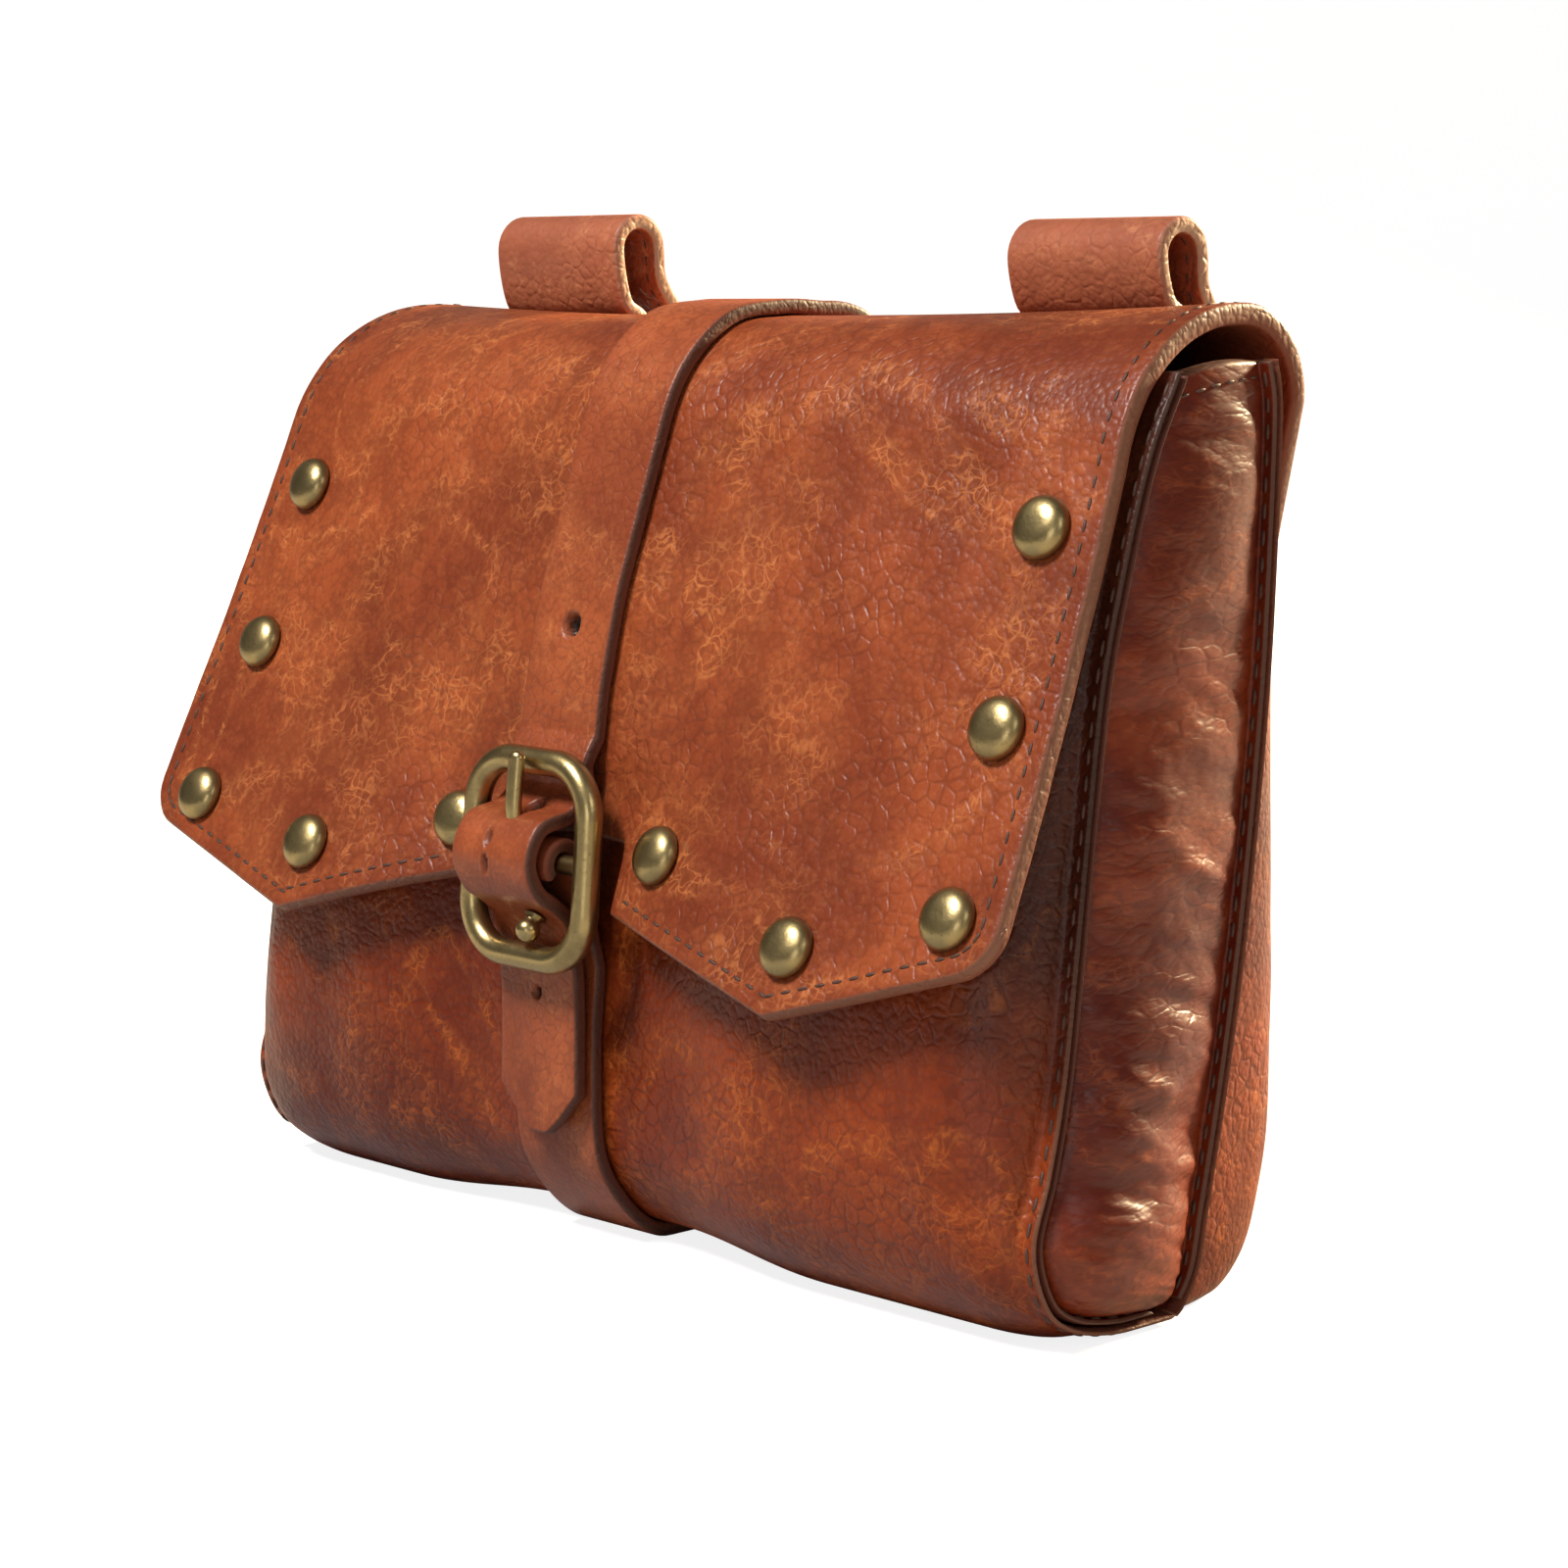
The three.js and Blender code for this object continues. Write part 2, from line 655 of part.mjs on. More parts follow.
// The two rows of the front panel that the flap's front lies along
const LIES_FROM = 1;
const LIES_TO = 6;
const panelTop = outerPoint(FRONT, LIES_FROM, 0);
const panelWay = outerPoint(FRONT, LIES_TO, 0).sub(panelTop).normalize();
const panelSlope = THREE.MathUtils.radToDeg(Math.atan2(-panelWay.y, -panelWay.z));
const FRONT_BEND_TURN = 90 - panelSlope - FLAP_SPREAD;

function clearanceOf(radius) {
  // How far the flap's inner face lies off the panel's row where its front bend ends
  const turn = THREE.MathUtils.degToRad(FRONT_BEND_TURN);
  const normal = inPlane(-Math.sin(turn), Math.cos(turn));
  const end = inPlane(
    FLAP_BACK - REAR_BEND_RADIUS - CREST_FLAT - radius * Math.sin(turn),
    CREST_HEIGHT - radius * (1 - Math.cos(turn)),
  );
  return end.sub(panelTop).dot(normal) - FLAP_WALL;
}

// The clearance grows evenly with the bend's radius
const clearanceGrowth = clearanceOf(1) - clearanceOf(0);
const FRONT_BEND_RADIUS = (FLAP_CLEARANCE - clearanceOf(0)) / clearanceGrowth;
const BACK_LENGTH = FLAP_BACK_DROP + REAR_BEND_LENGTH;
const FRONT_BEND_LENGTH = FRONT_BEND_RADIUS * THREE.MathUtils.degToRad(FRONT_BEND_TURN);
const flapPath = bentPath(
  inPlane(FLAP_BACK, CREST_HEIGHT - REAR_BEND_RADIUS - FLAP_BACK_DROP),
  [
    { length: FLAP_BACK_DROP, turn: 0 },
    { length: REAR_BEND_LENGTH, turn: 90 },
    { length: CREST_FLAT, turn: 0 },
    { length: FRONT_BEND_LENGTH, turn: FRONT_BEND_TURN },
    { length: FLAP_DROP - CREST_FLAT - FRONT_BEND_LENGTH, turn: FRONT_CURL },
  ],
);
const FULLNESS = columnsOf(
  FULLNESS_ROWS,
  ['crown', 'dent'],
  FULLNESS_ROWS.map((row) => row.along),
);

function flapPoint(x, along, lift) {
  // A point of the flap's outer face, along from the crest, raised by lift
  const { point, normal } = flapPath(along + BACK_LENGTH);
  const share = along / FLAP_DROP;
  const side = THREE.MathUtils.clamp(x / flapSide(x), -1, 1);
  const near = THREE.MathUtils.clamp((x - STRAP_X) / FLAP_DENT_REACH, -1, 1);
  const crown = FLAP_CROWN * FULLNESS.crown(share) * (1 - side * side);
  const dent = FLAP_DENT * FULLNESS.dent(share) * (0.5 + 0.5 * Math.cos(Math.PI * near));
  point.addScaledVector(normal, crown - dent + lift);
  point.x = x;
  return { point, normal };
}

function flapHalf(side, along) {
  const flare = side < 0 ? FLAP_FLARE_LEFT : FLAP_FLARE_RIGHT;
  const behind = Math.max(0, -along - REAR_BEND_LENGTH) / FLAP_BACK_DROP;
  const ahead = (Math.max(0, along) / FLAP_DROP) ** FLAP_FLARE_CURVE;
  return flapSide(side) + flare * ahead - FLAP_BACK_TAPER * behind;
}

function flapEnd(x) {
  // How far the flap reaches along from its crest at one place across
  const half = flapHalf(Math.sign(x), FLAP_DROP);
  const hand = x < 0 ? 'left' : 'right';
  const at = Math.abs(x) / half;
  let i = 0;
  while (i < OUTLINE_ROWS.length - 2 && at < OUTLINE_ROWS[i + 1].side) i += 1;
  const [far, near] = [OUTLINE_ROWS[i], OUTLINE_ROWS[i + 1]];
  const t = THREE.MathUtils.clamp((at - near.side) / (far.side - near.side), 0, 1);
  const reach = FLAP_DROP * THREE.MathUtils.lerp(near[hand], far[hand], t);
  const inCorner = Math.max(0, Math.abs(x) - half + FLAP_CORNER_RADIUS);
  const hold = FLAP_CORNER_RADIUS ** 2 - Math.min(inCorner, FLAP_CORNER_RADIUS) ** 2;
  return reach - (FLAP_CORNER_RADIUS - Math.sqrt(hold));
}

const flapStations = [
  ...spread(-BACK_LENGTH, -REAR_BEND_LENGTH, 2),
  ...spread(-REAR_BEND_LENGTH, 0, 5).slice(1),
  ...spread(CREST_FLAT, CREST_FLAT + FRONT_BEND_LENGTH, 6),
  ...spread(CREST_FLAT + FRONT_BEND_LENGTH, STRAP_ON_FLAP, 4).slice(1),
];
const LOWER_STEPS = 4;

function flapColumns() {
  // Places across the flap's lower part, closer together at its corners and the notch
  const columns = [];
  const notch = OUTLINE_ROWS[3].side;
  const shoulder = OUTLINE_ROWS[2].side;
  const lobe = OUTLINE_ROWS[1].side;
  for (const side of [1, 0.994, 0.978, 0.955, 0.85, 0.72, lobe, 0.45, 0.3, shoulder, notch]) {
    columns.push(side);
  }
  return [...columns.map((side) => -side), 0, ...columns.reverse()];
}

function flap() {
  const outer = [];
  const inner = [];
  const shares = flapColumns();
  const addRow = (alongAt) => {
    const [outerRow, innerRow] = [[], []];
    for (const share of shares) {
      const low = Math.abs(share) * flapHalf(Math.sign(share), FLAP_DROP) * Math.sign(share);
      const along = alongAt(flapEnd(low));
      const x = share * flapHalf(Math.sign(share), along);
      outerRow.push(flapPoint(x, along, 0).point);
      innerRow.push(flapPoint(x, along, -FLAP_WALL).point);
    }
    outer.push(outerRow);
    inner.push(innerRow);
  };
  for (const along of flapStations) addRow(() => along);
  for (const share of spread(0, 1, LOWER_STEPS).slice(1)) {
    addRow((end) => STRAP_ON_FLAP + (end - STRAP_ON_FLAP) * share);
  }
  return wallBetween(outer, inner);
}

function surfaceFrame(x, along) {
  // The point and the true normal of the flap's outer face
  const step = 0.5;
  const across = flapPoint(x + step, along, 0).point.sub(flapPoint(x - step, along, 0).point);
  const down = flapPoint(x, along + step, 0).point.sub(flapPoint(x, along - step, 0).point);
  const axis = down.cross(across).normalize();
  const { point, normal } = flapPoint(x, along, 0);
  return { point, axis: axis.dot(normal) < 0 ? axis.negate() : axis };
}

// Rivets

function rivetPlaces() {
  const places = [];
  for (const [label, side] of [['left', -1], ['right', 1]]) {
    RIVET_ROWS.forEach((row, i) => {
      const x = side * row[label] * flapSide(side);
      const frame = surfaceFrame(x, row[`${label}Drop`] * FLAP_DROP);
      places.push({ name: `rivet_${label}_${i + 1}`, ...frame });
    });
  }
  return places;
}

function rivetShape(wall, radius, height, shank, washer, washerWall) {
  const back = -(wall + GAP);
  return turned([
    [0, back - washerWall],
    [washer, back - washerWall],
    [washer, back],
    [shank, back],
    [shank, GAP],
    [radius, GAP],
    [radius * 0.97, GAP + height * 0.25],
    [radius * 0.68, GAP + height * 0.76],
    [0, GAP + height],
  ], 8);
}

function drill(radius, length, sides) {
  return turned([[0, -length / 2], [radius, -length / 2], [radius, length / 2], [0, length / 2]], sides);
}

// Straps

function strip(rows, centre, wall, halfAt) {
  // A flat strap across X whose middle follows rows of {point, normal}
  const outer = [];
  const inner = [];
  rows.forEach(({ point, normal }, i) => {
    const half = halfAt(i, rows.length);
    const face = (lift) => [-half, half].map((x) => {
      const p = point.clone().addScaledVector(normal, lift);
      p.x = centre + x;
      return p;
    });
    outer.push(face(wall / 2));
    inner.push(face(-wall / 2));
  });
  return wallBetween(outer, inner);
}

function alongPoints(points, steps) {
  // Even rows along a smooth curve through points that lie in the Y-Z plane
  const curve = new THREE.CatmullRomCurve3(points, false, 'centripetal');
  return spread(0, 1, steps).map((t) => {
    const way = curve.getTangentAt(t);
    return { point: curve.getPointAt(t), normal: inPlane(way.z, -way.y).normalize() };
  });
}

const WAY_STEPS = 26;
const TIP_SHARES = [0.07, 0.34];
const FULLEST_ROW = 7;
const drawnIn = outerPoint(FRONT, FULLEST_ROW, 1).y;
const barCentre = inPlane(
  drawnIn - BAR_CLEARANCE,
  flapPoint(STRAP_X, STRAP_ON_FLAP, 0).point.z - BAR_DROP,
);

function nearBar({ forward, above }) {
  return inPlane(
    barCentre.y - forward * BUCKLE_HEIGHT,
    barCentre.z + above * BUCKLE_HEIGHT,
  );
}

function closureStrapRows() {
  const lift = GAP + STRAP_WALL / 2;
  const top = -REAR_BEND_LENGTH - STRAP_BACK_DROP;
  const onFlap = [top, ...flapStations.filter((along) => along > top)];
  const rows = onFlap.map((along) => {
    const { point, normal } = flapPoint(STRAP_X, along, lift);
    point.x = 0;
    return { point, normal };
  });
  const last = rows[rows.length - 1].point;
  const tailBack = drawnIn - GAP - BUCKLE_STRAP_WALL - TAIL_CLEARANCE - STRAP_WALL / 2;
  const way = [
    last,
    ...STRAP_WAY.map(nearBar),
    inPlane(tailBack, barCentre.z - BUCKLE_HEIGHT / 2),
    inPlane(tailBack, barCentre.z - TAIL_LENGTH),
  ];
  return [...rows, ...alongPoints(way, WAY_STEPS).slice(1)];
}

function closureHalf(i, count) {
  // The strap narrows toward the buckle and its tail runs to a blunt point
  const left = count - 1 - i;
  if (left < TIP_SHARES.length) return STRAP_TAIL_WIDTH * TIP_SHARES[left];
  const narrowed = Math.min(1, i / (count - 1 - WAY_STEPS));
  return THREE.MathUtils.lerp(STRAP_WIDTH, STRAP_TAIL_WIDTH, narrowed) / 2;
}

function rowNear(rows, height, front) {
  // The row nearest a height among those in front of the body
  return rows.filter(({ point }) => point.y < front)
    .reduce((best, row) => (
      Math.abs(row.point.z - height) < Math.abs(best.point.z - height) ? row : best
    ));
}

function buckleStrapRows() {
  const lift = GAP + BUCKLE_STRAP_WALL / 2;
  const fold = BAR_RADIUS + lift;
  const rows = spread(FOLD_WRAP, 0, 10).map((degrees) => {
    const turn = THREE.MathUtils.degToRad(degrees);
    const normal = inPlane(-Math.cos(turn), -Math.sin(turn));
    return { point: barCentre.clone().addScaledVector(normal, -fold), normal };
  });
  const onPanel = (curves, at) => {
    const normal = panelNormal(curves, at, 1);
    return { point: outerPoint(curves, at, 1).addScaledVector(normal, lift), normal };
  };
  const frontRows = FRONT_STATIONS.filter((at) => at >= 6).map((at) => onPanel(FRONT, at));
  const lastRow = BACK_ROWS.length - 1.5;
  const backStations = [
    BUCKLE_STRAP_BACK_ROW,
    ...BACK_STATIONS.filter((at) => at > BUCKLE_STRAP_BACK_ROW && at < lastRow),
  ];
  const backRows = backStations.reverse().map((at) => onPanel(BACK, at));
  return [...rows, ...frontRows, ...backRows];
}

// Buckle

function buckleFrame() {
  // The rod's middle runs round a rectangle with rounded corners in the buckle's plane
  const half = [(BUCKLE_WIDTH - BUCKLE_ROD) / 2, (BUCKLE_HEIGHT - BUCKLE_ROD) / 2];
  const corner = BUCKLE_RADIUS - BUCKLE_ROD / 2;
  const path = [];
  const out = new THREE.Vector3(0, -1, 0);
  for (const [quarter, [sx, sz]] of [[1, 1], [-1, 1], [-1, -1], [1, -1]].entries()) {
    for (const degrees of spread(0, 90, 5)) {
      const turn = THREE.MathUtils.degToRad(degrees + 90 * quarter);
      const side = new THREE.Vector3(Math.cos(turn), 0, Math.sin(turn));
      const point = new THREE.Vector3(sx * (half[0] - corner), 0, sz * (half[1] - corner));
      path.push({ point: point.addScaledVector(side, corner), side, up: out });
    }
  }
  const ring = toSolid(rodAlong(path, BUCKLE_ROD / 2, 8, true));
  const bar = new THREE.CylinderGeometry(BAR_RADIUS, BAR_RADIUS, 2 * half[0], 8);
  bar.rotateZ(Math.PI / 2);
  return fromSolid(ring.add(toSolid(bar)));
}

function inBuckle(geometry) {
  geometry.rotateX(-THREE.MathUtils.degToRad(BUCKLE_TILT));
  geometry.translate(BUCKLE_X, barCentre.y, barCentre.z);
  return geometry;
}

function prong(radius) {
  // From behind the centre bar over it, forward through the strap and onto the top bar
  const hold = BAR_RADIUS + GAP + PRONG_RADIUS;
  const points = [20, 60, 100, 130].map((degrees) => {
    const turn = THREE.MathUtils.degToRad(degrees);
    return inPlane(barCentre.y + hold * Math.cos(turn), barCentre.z + hold * Math.sin(turn));
  });
  const rest = (BUCKLE_HEIGHT - BUCKLE_ROD) / 2;
  const clear = BUCKLE_ROD / 2 + GAP + PRONG_RADIUS + PRONG_LIFT;
  const lean = Math.tan(THREE.MathUtils.degToRad(BUCKLE_TILT)) * rest;
  const front = barCentre.y + lean - clear;
  for (const { up, bow } of PRONG_ROWS) {
    points.push(inPlane(front - PRONG_BOW * bow, barCentre.z + rest * up));
  }
  const rows = alongPoints(points, 12).map(({ point, normal }) => (
    { point, side: towardRight, up: normal }
  ));
  const rod = rodAlong(rows, radius, 8, false);
  rod.translate(BUCKLE_X, 0, 0);
  return rod;
}

function foldSlot() {
  // The slit that lets the prong through the strap folded round the centre bar
  const reach = BAR_RADIUS + GAP + BUCKLE_STRAP_WALL + CUT_REACH;
  const [from, to] = [THREE.MathUtils.degToRad(-12), THREE.MathUtils.degToRad(165)];
  const sector = new THREE.Shape();
  sector.moveTo(0, 0);
  sector.lineTo(reach * Math.cos(from), reach * Math.sin(from));
  sector.absarc(0, 0, reach, from, to, false);
  sector.lineTo(0, 0);
  const slot = new THREE.ExtrudeGeometry(sector, {
    depth: SLOT_WIDTH, bevelEnabled: false, curveSegments: 10,
  });
  const basis = new THREE.Matrix4().makeBasis(inPlane(1, 0), inPlane(0, 1), towardRight);
  slot.applyMatrix4(basis);
  slot.translate(BUCKLE_X - SLOT_WIDTH / 2, barCentre.y, barCentre.z);
  return slot;
}

// Belt loops

function loopRows(loopTop) {
  // Up the flap's back, over its rear bend, round the loop's top and down again
  const foot = FLAP_BACK + GAP + LOOP_WALL / 2;
  const rearFoot = foot + LOOP_WALL + GAP;
  const bend = inPlane(FLAP_BACK - REAR_BEND_RADIUS, CREST_HEIGHT - REAR_BEND_RADIUS);
  const hold = REAR_BEND_RADIUS + GAP + LOOP_WALL / 2;
  const topRadius = (LOOP_DEPTH - LOOP_WALL) / 2;
  const top = inPlane(
    FLAP_BACK - LOOP_FORWARD + LOOP_DEPTH / 2,
    loopTop - LOOP_WALL / 2 - topRadius,
  );
  const round = (middle, radius, degrees) => {
    const turn = THREE.MathUtils.degToRad(degrees);
    return inPlane(middle.y + radius * Math.cos(turn), middle.z + radius * Math.sin(turn));
  };
  const points = [
    inPlane(foot, LOOP_FOOT),
    inPlane(foot, (LOOP_FOOT + bend.z) / 2),
    ...[0, 18, 36, 50, 62].map((degrees) => round(bend, hold, degrees)),
    ...[180, 150, 120, 90, 60, 30, 0].map((degrees) => round(top, topRadius, degrees)),
    ...LOOP_ROWS.map(({ behind, above }) => inPlane(
      rearFoot + behind * LOOP_BELLY,
      LOOP_FOOT + above * (top.z - LOOP_FOOT),
    )),
  ];
  const rows = alongPoints(points, 42);
  const sewn = inPlane(-1, 0);
  rows[rows.length - 1].normal = sewn;
  return [...rows, { point: inPlane(rearFoot, LOOP_FOOT), normal: sewn }];
}

// The pieces

addPiece('front_panel', panel(FRONT, FRONT_STATIONS, FRONT_EDGE_RADIUS, 4), leather(LEATHER));
addPiece('back_panel', panel(BACK, BACK_STATIONS, BACK_EDGE_RADIUS, 4), leather(LEATHER));
addPiece('gusset_left', gusset(-1), leather(0x8a3c20));
addPiece('gusset_right', gusset(1), leather(0x8a3c20));

const rivets = rivetPlaces();
const rivetHoles = rivets.map(({ point, axis }) => (
  standing(drill(SHANK_RADIUS + GAP, 2 * (FLAP_WALL + CUT_REACH), 8), point, axis)
));
addPiece('flap', cutBy(flap(), rivetHoles), leather(LEATHER));
for (const { name, point, axis } of rivets) {
  const shape = rivetShape(
    FLAP_WALL, RIVET_RADIUS, RIVET_HEIGHT, SHANK_RADIUS, WASHER_RADIUS, WASHER_WALL,
  );
  addPiece(name, standing(shape, point, axis), brass());
}

const closureRows = closureStrapRows();
const stripFace = (row, wall) => {
  const point = row.point.clone().addScaledVector(row.normal, wall / 2);
  point.x = STRAP_X;
  return { point, axis: row.normal };
};
const studRow = rowNear(closureRows, barCentre.z - STUD_BELOW, barCentre.y);
const studSeat = stripFace(studRow, STRAP_WALL);
const tailRow = rowNear(closureRows, barCentre.z - TAIL_HOLE_BELOW, 0);
const tailHole = stripFace(tailRow, STRAP_WALL);
const strapHole = flapPoint(STRAP_X, STRAP_HOLE_ALONG, 0);
const strapCuts = [
  prong(PRONG_RADIUS + PRONG_CLEARANCE),
  standing(drill(STUD_SHANK_RADIUS + GAP, 3 * STRAP_WALL, 10), studSeat.point, studSeat.axis),
  standing(drill(TAIL_HOLE_RADIUS, 2 * (STRAP_WALL + CUT_REACH), 10), tailHole.point, tailHole.axis),
  standing(drill(STRAP_HOLE_RADIUS, 4 * STRAP_WALL, 12), strapHole.point, strapHole.normal),
];
const closure = strip(closureRows, STRAP_X, STRAP_WALL, closureHalf);
addPiece('closure_strap', cutBy(closure, strapCuts), leather(0x94482a));

const buckleStrap = strip(
  buckleStrapRows(), STRAP_X, BUCKLE_STRAP_WALL, () => BUCKLE_STRAP_WIDTH / 2,
);
addPiece('buckle_strap', cutBy(buckleStrap, [foldSlot()]), leather(0x94482a));
addPiece('buckle_frame', inBuckle(buckleFrame()), brass());
addPiece('buckle_prong', prong(PRONG_RADIUS), brass());

const stud = turned([
  [0, -(STRAP_WALL + GAP + WASHER_WALL)],
  [STUD_RADIUS, -(STRAP_WALL + GAP + WASHER_WALL)],
  [STUD_RADIUS, -(STRAP_WALL + GAP)],
  [STUD_SHANK_RADIUS, -(STRAP_WALL + GAP)],
  [STUD_SHANK_RADIUS, GAP],
  [STUD_RADIUS * 0.9, GAP],
  [STUD_RADIUS * 0.6, GAP + STUD_RADIUS * 0.5],
  [STUD_RADIUS, GAP + STUD_RADIUS * 1.2],
  [STUD_RADIUS * 0.72, GAP + STUD_RADIUS * 1.95],
  [0, GAP + STUD_RADIUS * 2.3],
], 10);
addPiece('strap_stud', standing(stud, studSeat.point, studSeat.axis), brass());

for (const [label, side, rise] of [['left', -1, LOOP_RISE_LEFT], ['right', 1, LOOP_RISE_RIGHT]]) {
  const centre = LOOP_SHIFT + side * LOOP_SPACING / 2;
  const loop = strip(loopRows(CREST_HEIGHT + rise), centre, LOOP_WALL, () => LOOP_WIDTH / 2);
  addPiece(`belt_loop_${label}`, loop, leather(LEATHER));
}

// The origin is the middle of the whole pouch's box, on the plane it stands on
const box = new THREE.Box3().setFromObject(pouch);
const middle = box.getCenter(new THREE.Vector3());
for (const mesh of pouch.children) {
  mesh.geometry.translate(-middle.x, -middle.y, -box.min.z);
}

export default pouch;
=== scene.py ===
"""A leather belt pouch with a riveted flap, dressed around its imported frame.

Every leather part is a sheet worked out with numpy: an outer and an inner face on one grid
of two parameters, drawn together along its cut edges. Sizes are in millimetres, in the
frame in which the pouch was drawn, and become metres when a mesh is made.
"""
import logging
import math
from collections.abc import Callable, Sequence
from dataclasses import dataclass, field
from enum import Enum

import bpy
import numpy as np
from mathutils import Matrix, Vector


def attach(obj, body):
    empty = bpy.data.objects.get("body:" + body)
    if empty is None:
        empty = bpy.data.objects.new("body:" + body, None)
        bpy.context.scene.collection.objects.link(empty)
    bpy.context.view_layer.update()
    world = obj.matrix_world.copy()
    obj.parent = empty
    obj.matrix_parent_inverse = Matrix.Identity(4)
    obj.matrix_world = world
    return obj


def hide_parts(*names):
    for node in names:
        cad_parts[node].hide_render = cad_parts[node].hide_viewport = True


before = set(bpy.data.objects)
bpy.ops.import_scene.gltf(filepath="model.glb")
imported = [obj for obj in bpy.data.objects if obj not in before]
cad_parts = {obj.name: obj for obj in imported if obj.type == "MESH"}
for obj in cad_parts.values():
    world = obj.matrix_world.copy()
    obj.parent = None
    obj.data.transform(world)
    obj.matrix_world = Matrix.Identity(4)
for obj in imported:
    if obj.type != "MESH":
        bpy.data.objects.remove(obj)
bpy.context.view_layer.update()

Array = np.ndarray
Curve = Callable[[Array], Array]
Socket = bpy.types.NodeSocket

LOG = logging.getLogger("pouch")
MM = 0.001
ORIGIN = np.array([1.363, 32.029, 0.0])
GAP = 0.3
CREST_HEIGHT = 143.5
CREST_LEAN = 1.9
LEAN_FROM = 60.0
FLAP_HALF = 90.0
RIDER = "root"

# Where a face gets its first rows beside a cut: in stations of a table, and in millimetres
CUT_STATIONS = np.array([0.002, 0.008, 0.02, 0.04, 0.07])
CUT_STEPS = np.array([0, 0.03, 0.1, 0.22, 0.4, 0.65, 1.0, 1.5])

# Shares of a point and its two neighbours when a row of points is softened
SOFT = np.array([0.25, 0.5, 0.25])

# Half length, half width and half height of the stitches, and how far apart they are
SEAM_STITCH, SEAM_PITCH = (1.15, 0.34, 0.3), 3.6
HEM_STITCH, HEM_PITCH = (0.9, 0.26, 0.3), 3.0
FLAP_STITCH, FLAP_PITCH = (0.95, 0.28, 0.2), 3.1
LOOP_STITCH, LOOP_PITCH = (0.85, 0.24, 0.16), 2.8


class Side(Enum):
    """A side of the pouch as seen from the front."""

    LEFT = -1
    RIGHT = 1

    @property
    def label(self) -> str:
        """The side's name in the names of nodes and pieces."""
        return self.name.lower()


class Slot(Enum):
    """The record's material slots."""

    BODY = "body_leather"
    GUSSET = "gusset_leather"
    STRAP = "strap_leather"
    BRASS = "brass"


# Numbers along curves and over surfaces


def smooth_through(stations: Sequence[float], values: Sequence[float]) -> Curve:
    """A cubic curve through values that never swings past them.

    Between two stations it is the Hermite cubic whose end slopes are the harmonic means of
    the neighbouring rises, or nought where the rises change sign.

    Args:
        stations: Rising places of the values.
        values: One value for each station.

    Returns:
        A function of an array of places.
    """
    x = np.asarray(stations, float)
    y = np.asarray(values, float)
    rise = np.diff(y) / np.diff(x)
    product = rise[:-1] * rise[1:]
    total = np.where(np.abs(rise[:-1] + rise[1:]) < 1e-12, 1.0, rise[:-1] + rise[1:])
    inner = np.where(product > 0, 2 * product / total, 0.0)
    slope = np.concatenate([rise[:1], inner, rise[-1:]])

    def curve(at: Array) -> Array:
        """The curve's value at each place."""
        at = np.asarray(at, float)
        i = np.clip(np.searchsorted(x, at, side="right") - 1, 0, len(x) - 2)
        span = x[i + 1] - x[i]
        t = np.clip((at - x[i]) / span, 0, 1)
        held = 1 - t
        return (
            y[i] * (1 + 2 * t) * held**2
            + slope[i] * span * t * held**2
            + y[i + 1] * t**2 * (3 - 2 * t)
            - slope[i + 1] * span * t**2 * held
        )

    return curve


def columns_of(rows: Sequence[dict[str, float]], key: str | None = None) -> dict[str, Curve]:
    """One smooth curve for each column of a table.

    Args:
        rows: The table's rows.
        key: The column that holds the stations, or None for the row numbers.

    Returns:
        The curves by column name.
    """
    stations = [row[key] if key else i for i, row in enumerate(rows)]
    return {n: smooth_through(stations, [row[n] for row in rows]) for n in rows[0] if n != key}


def smoothstep(value: Array, low: float, high: float) -> Array:
    """The share of the way from low to high, eased at both ends."""
    t = np.clip((value - low) / (high - low), 0, 1)
    return t * t * (3 - 2 * t)


def refined(length: float, step: float) -> Array:
    """Places along a length that crowd together toward both cut ends.

    Args:
        length: The length in millimetres.
        step: The usual spacing.

    Returns:
        Rising places from nought to the length.
    """
    last = CUT_STEPS[-1]
    count = max(2, round((length - 2 * last) / step))
    middle = np.linspace(last, length - last, count + 1)
    return np.concatenate([CUT_STEPS[:-1], middle, (length - CUT_STEPS[:-1])[::-1]])


def unit(vectors: Array) -> Array:
    """Vectors scaled to a length of one."""
    return vectors / np.maximum(np.linalg.norm(vectors, axis=-1, keepdims=True), 1e-12)


def in_plane(y: Array, z: Array, x: Array | float = 0.0) -> Array:
    """Points from separate arrays of their coordinates."""
    x, y, z = np.broadcast_arrays(np.asarray(x, float), y, z)
    return np.stack([x, y, z], axis=-1)


def walked_along(path: Array) -> Array:
    """The distance walked along a broken line up to each of its points."""
    return np.concatenate([[0], np.cumsum(np.linalg.norm(np.diff(path, axis=0), axis=1))])


def from_ends(path: Array) -> Array:
    """The distance of each point from the nearer end of its line, as a column."""
    walked = walked_along(path)
    return np.minimum(walked, walked[-1] - walked)[:, None]


def read_off(at: Array, walked: Array, values: Array) -> Array:
    """Each column of the values at places between the walked ones."""
    return np.stack([np.interp(at, walked, column) for column in values.T], axis=-1)


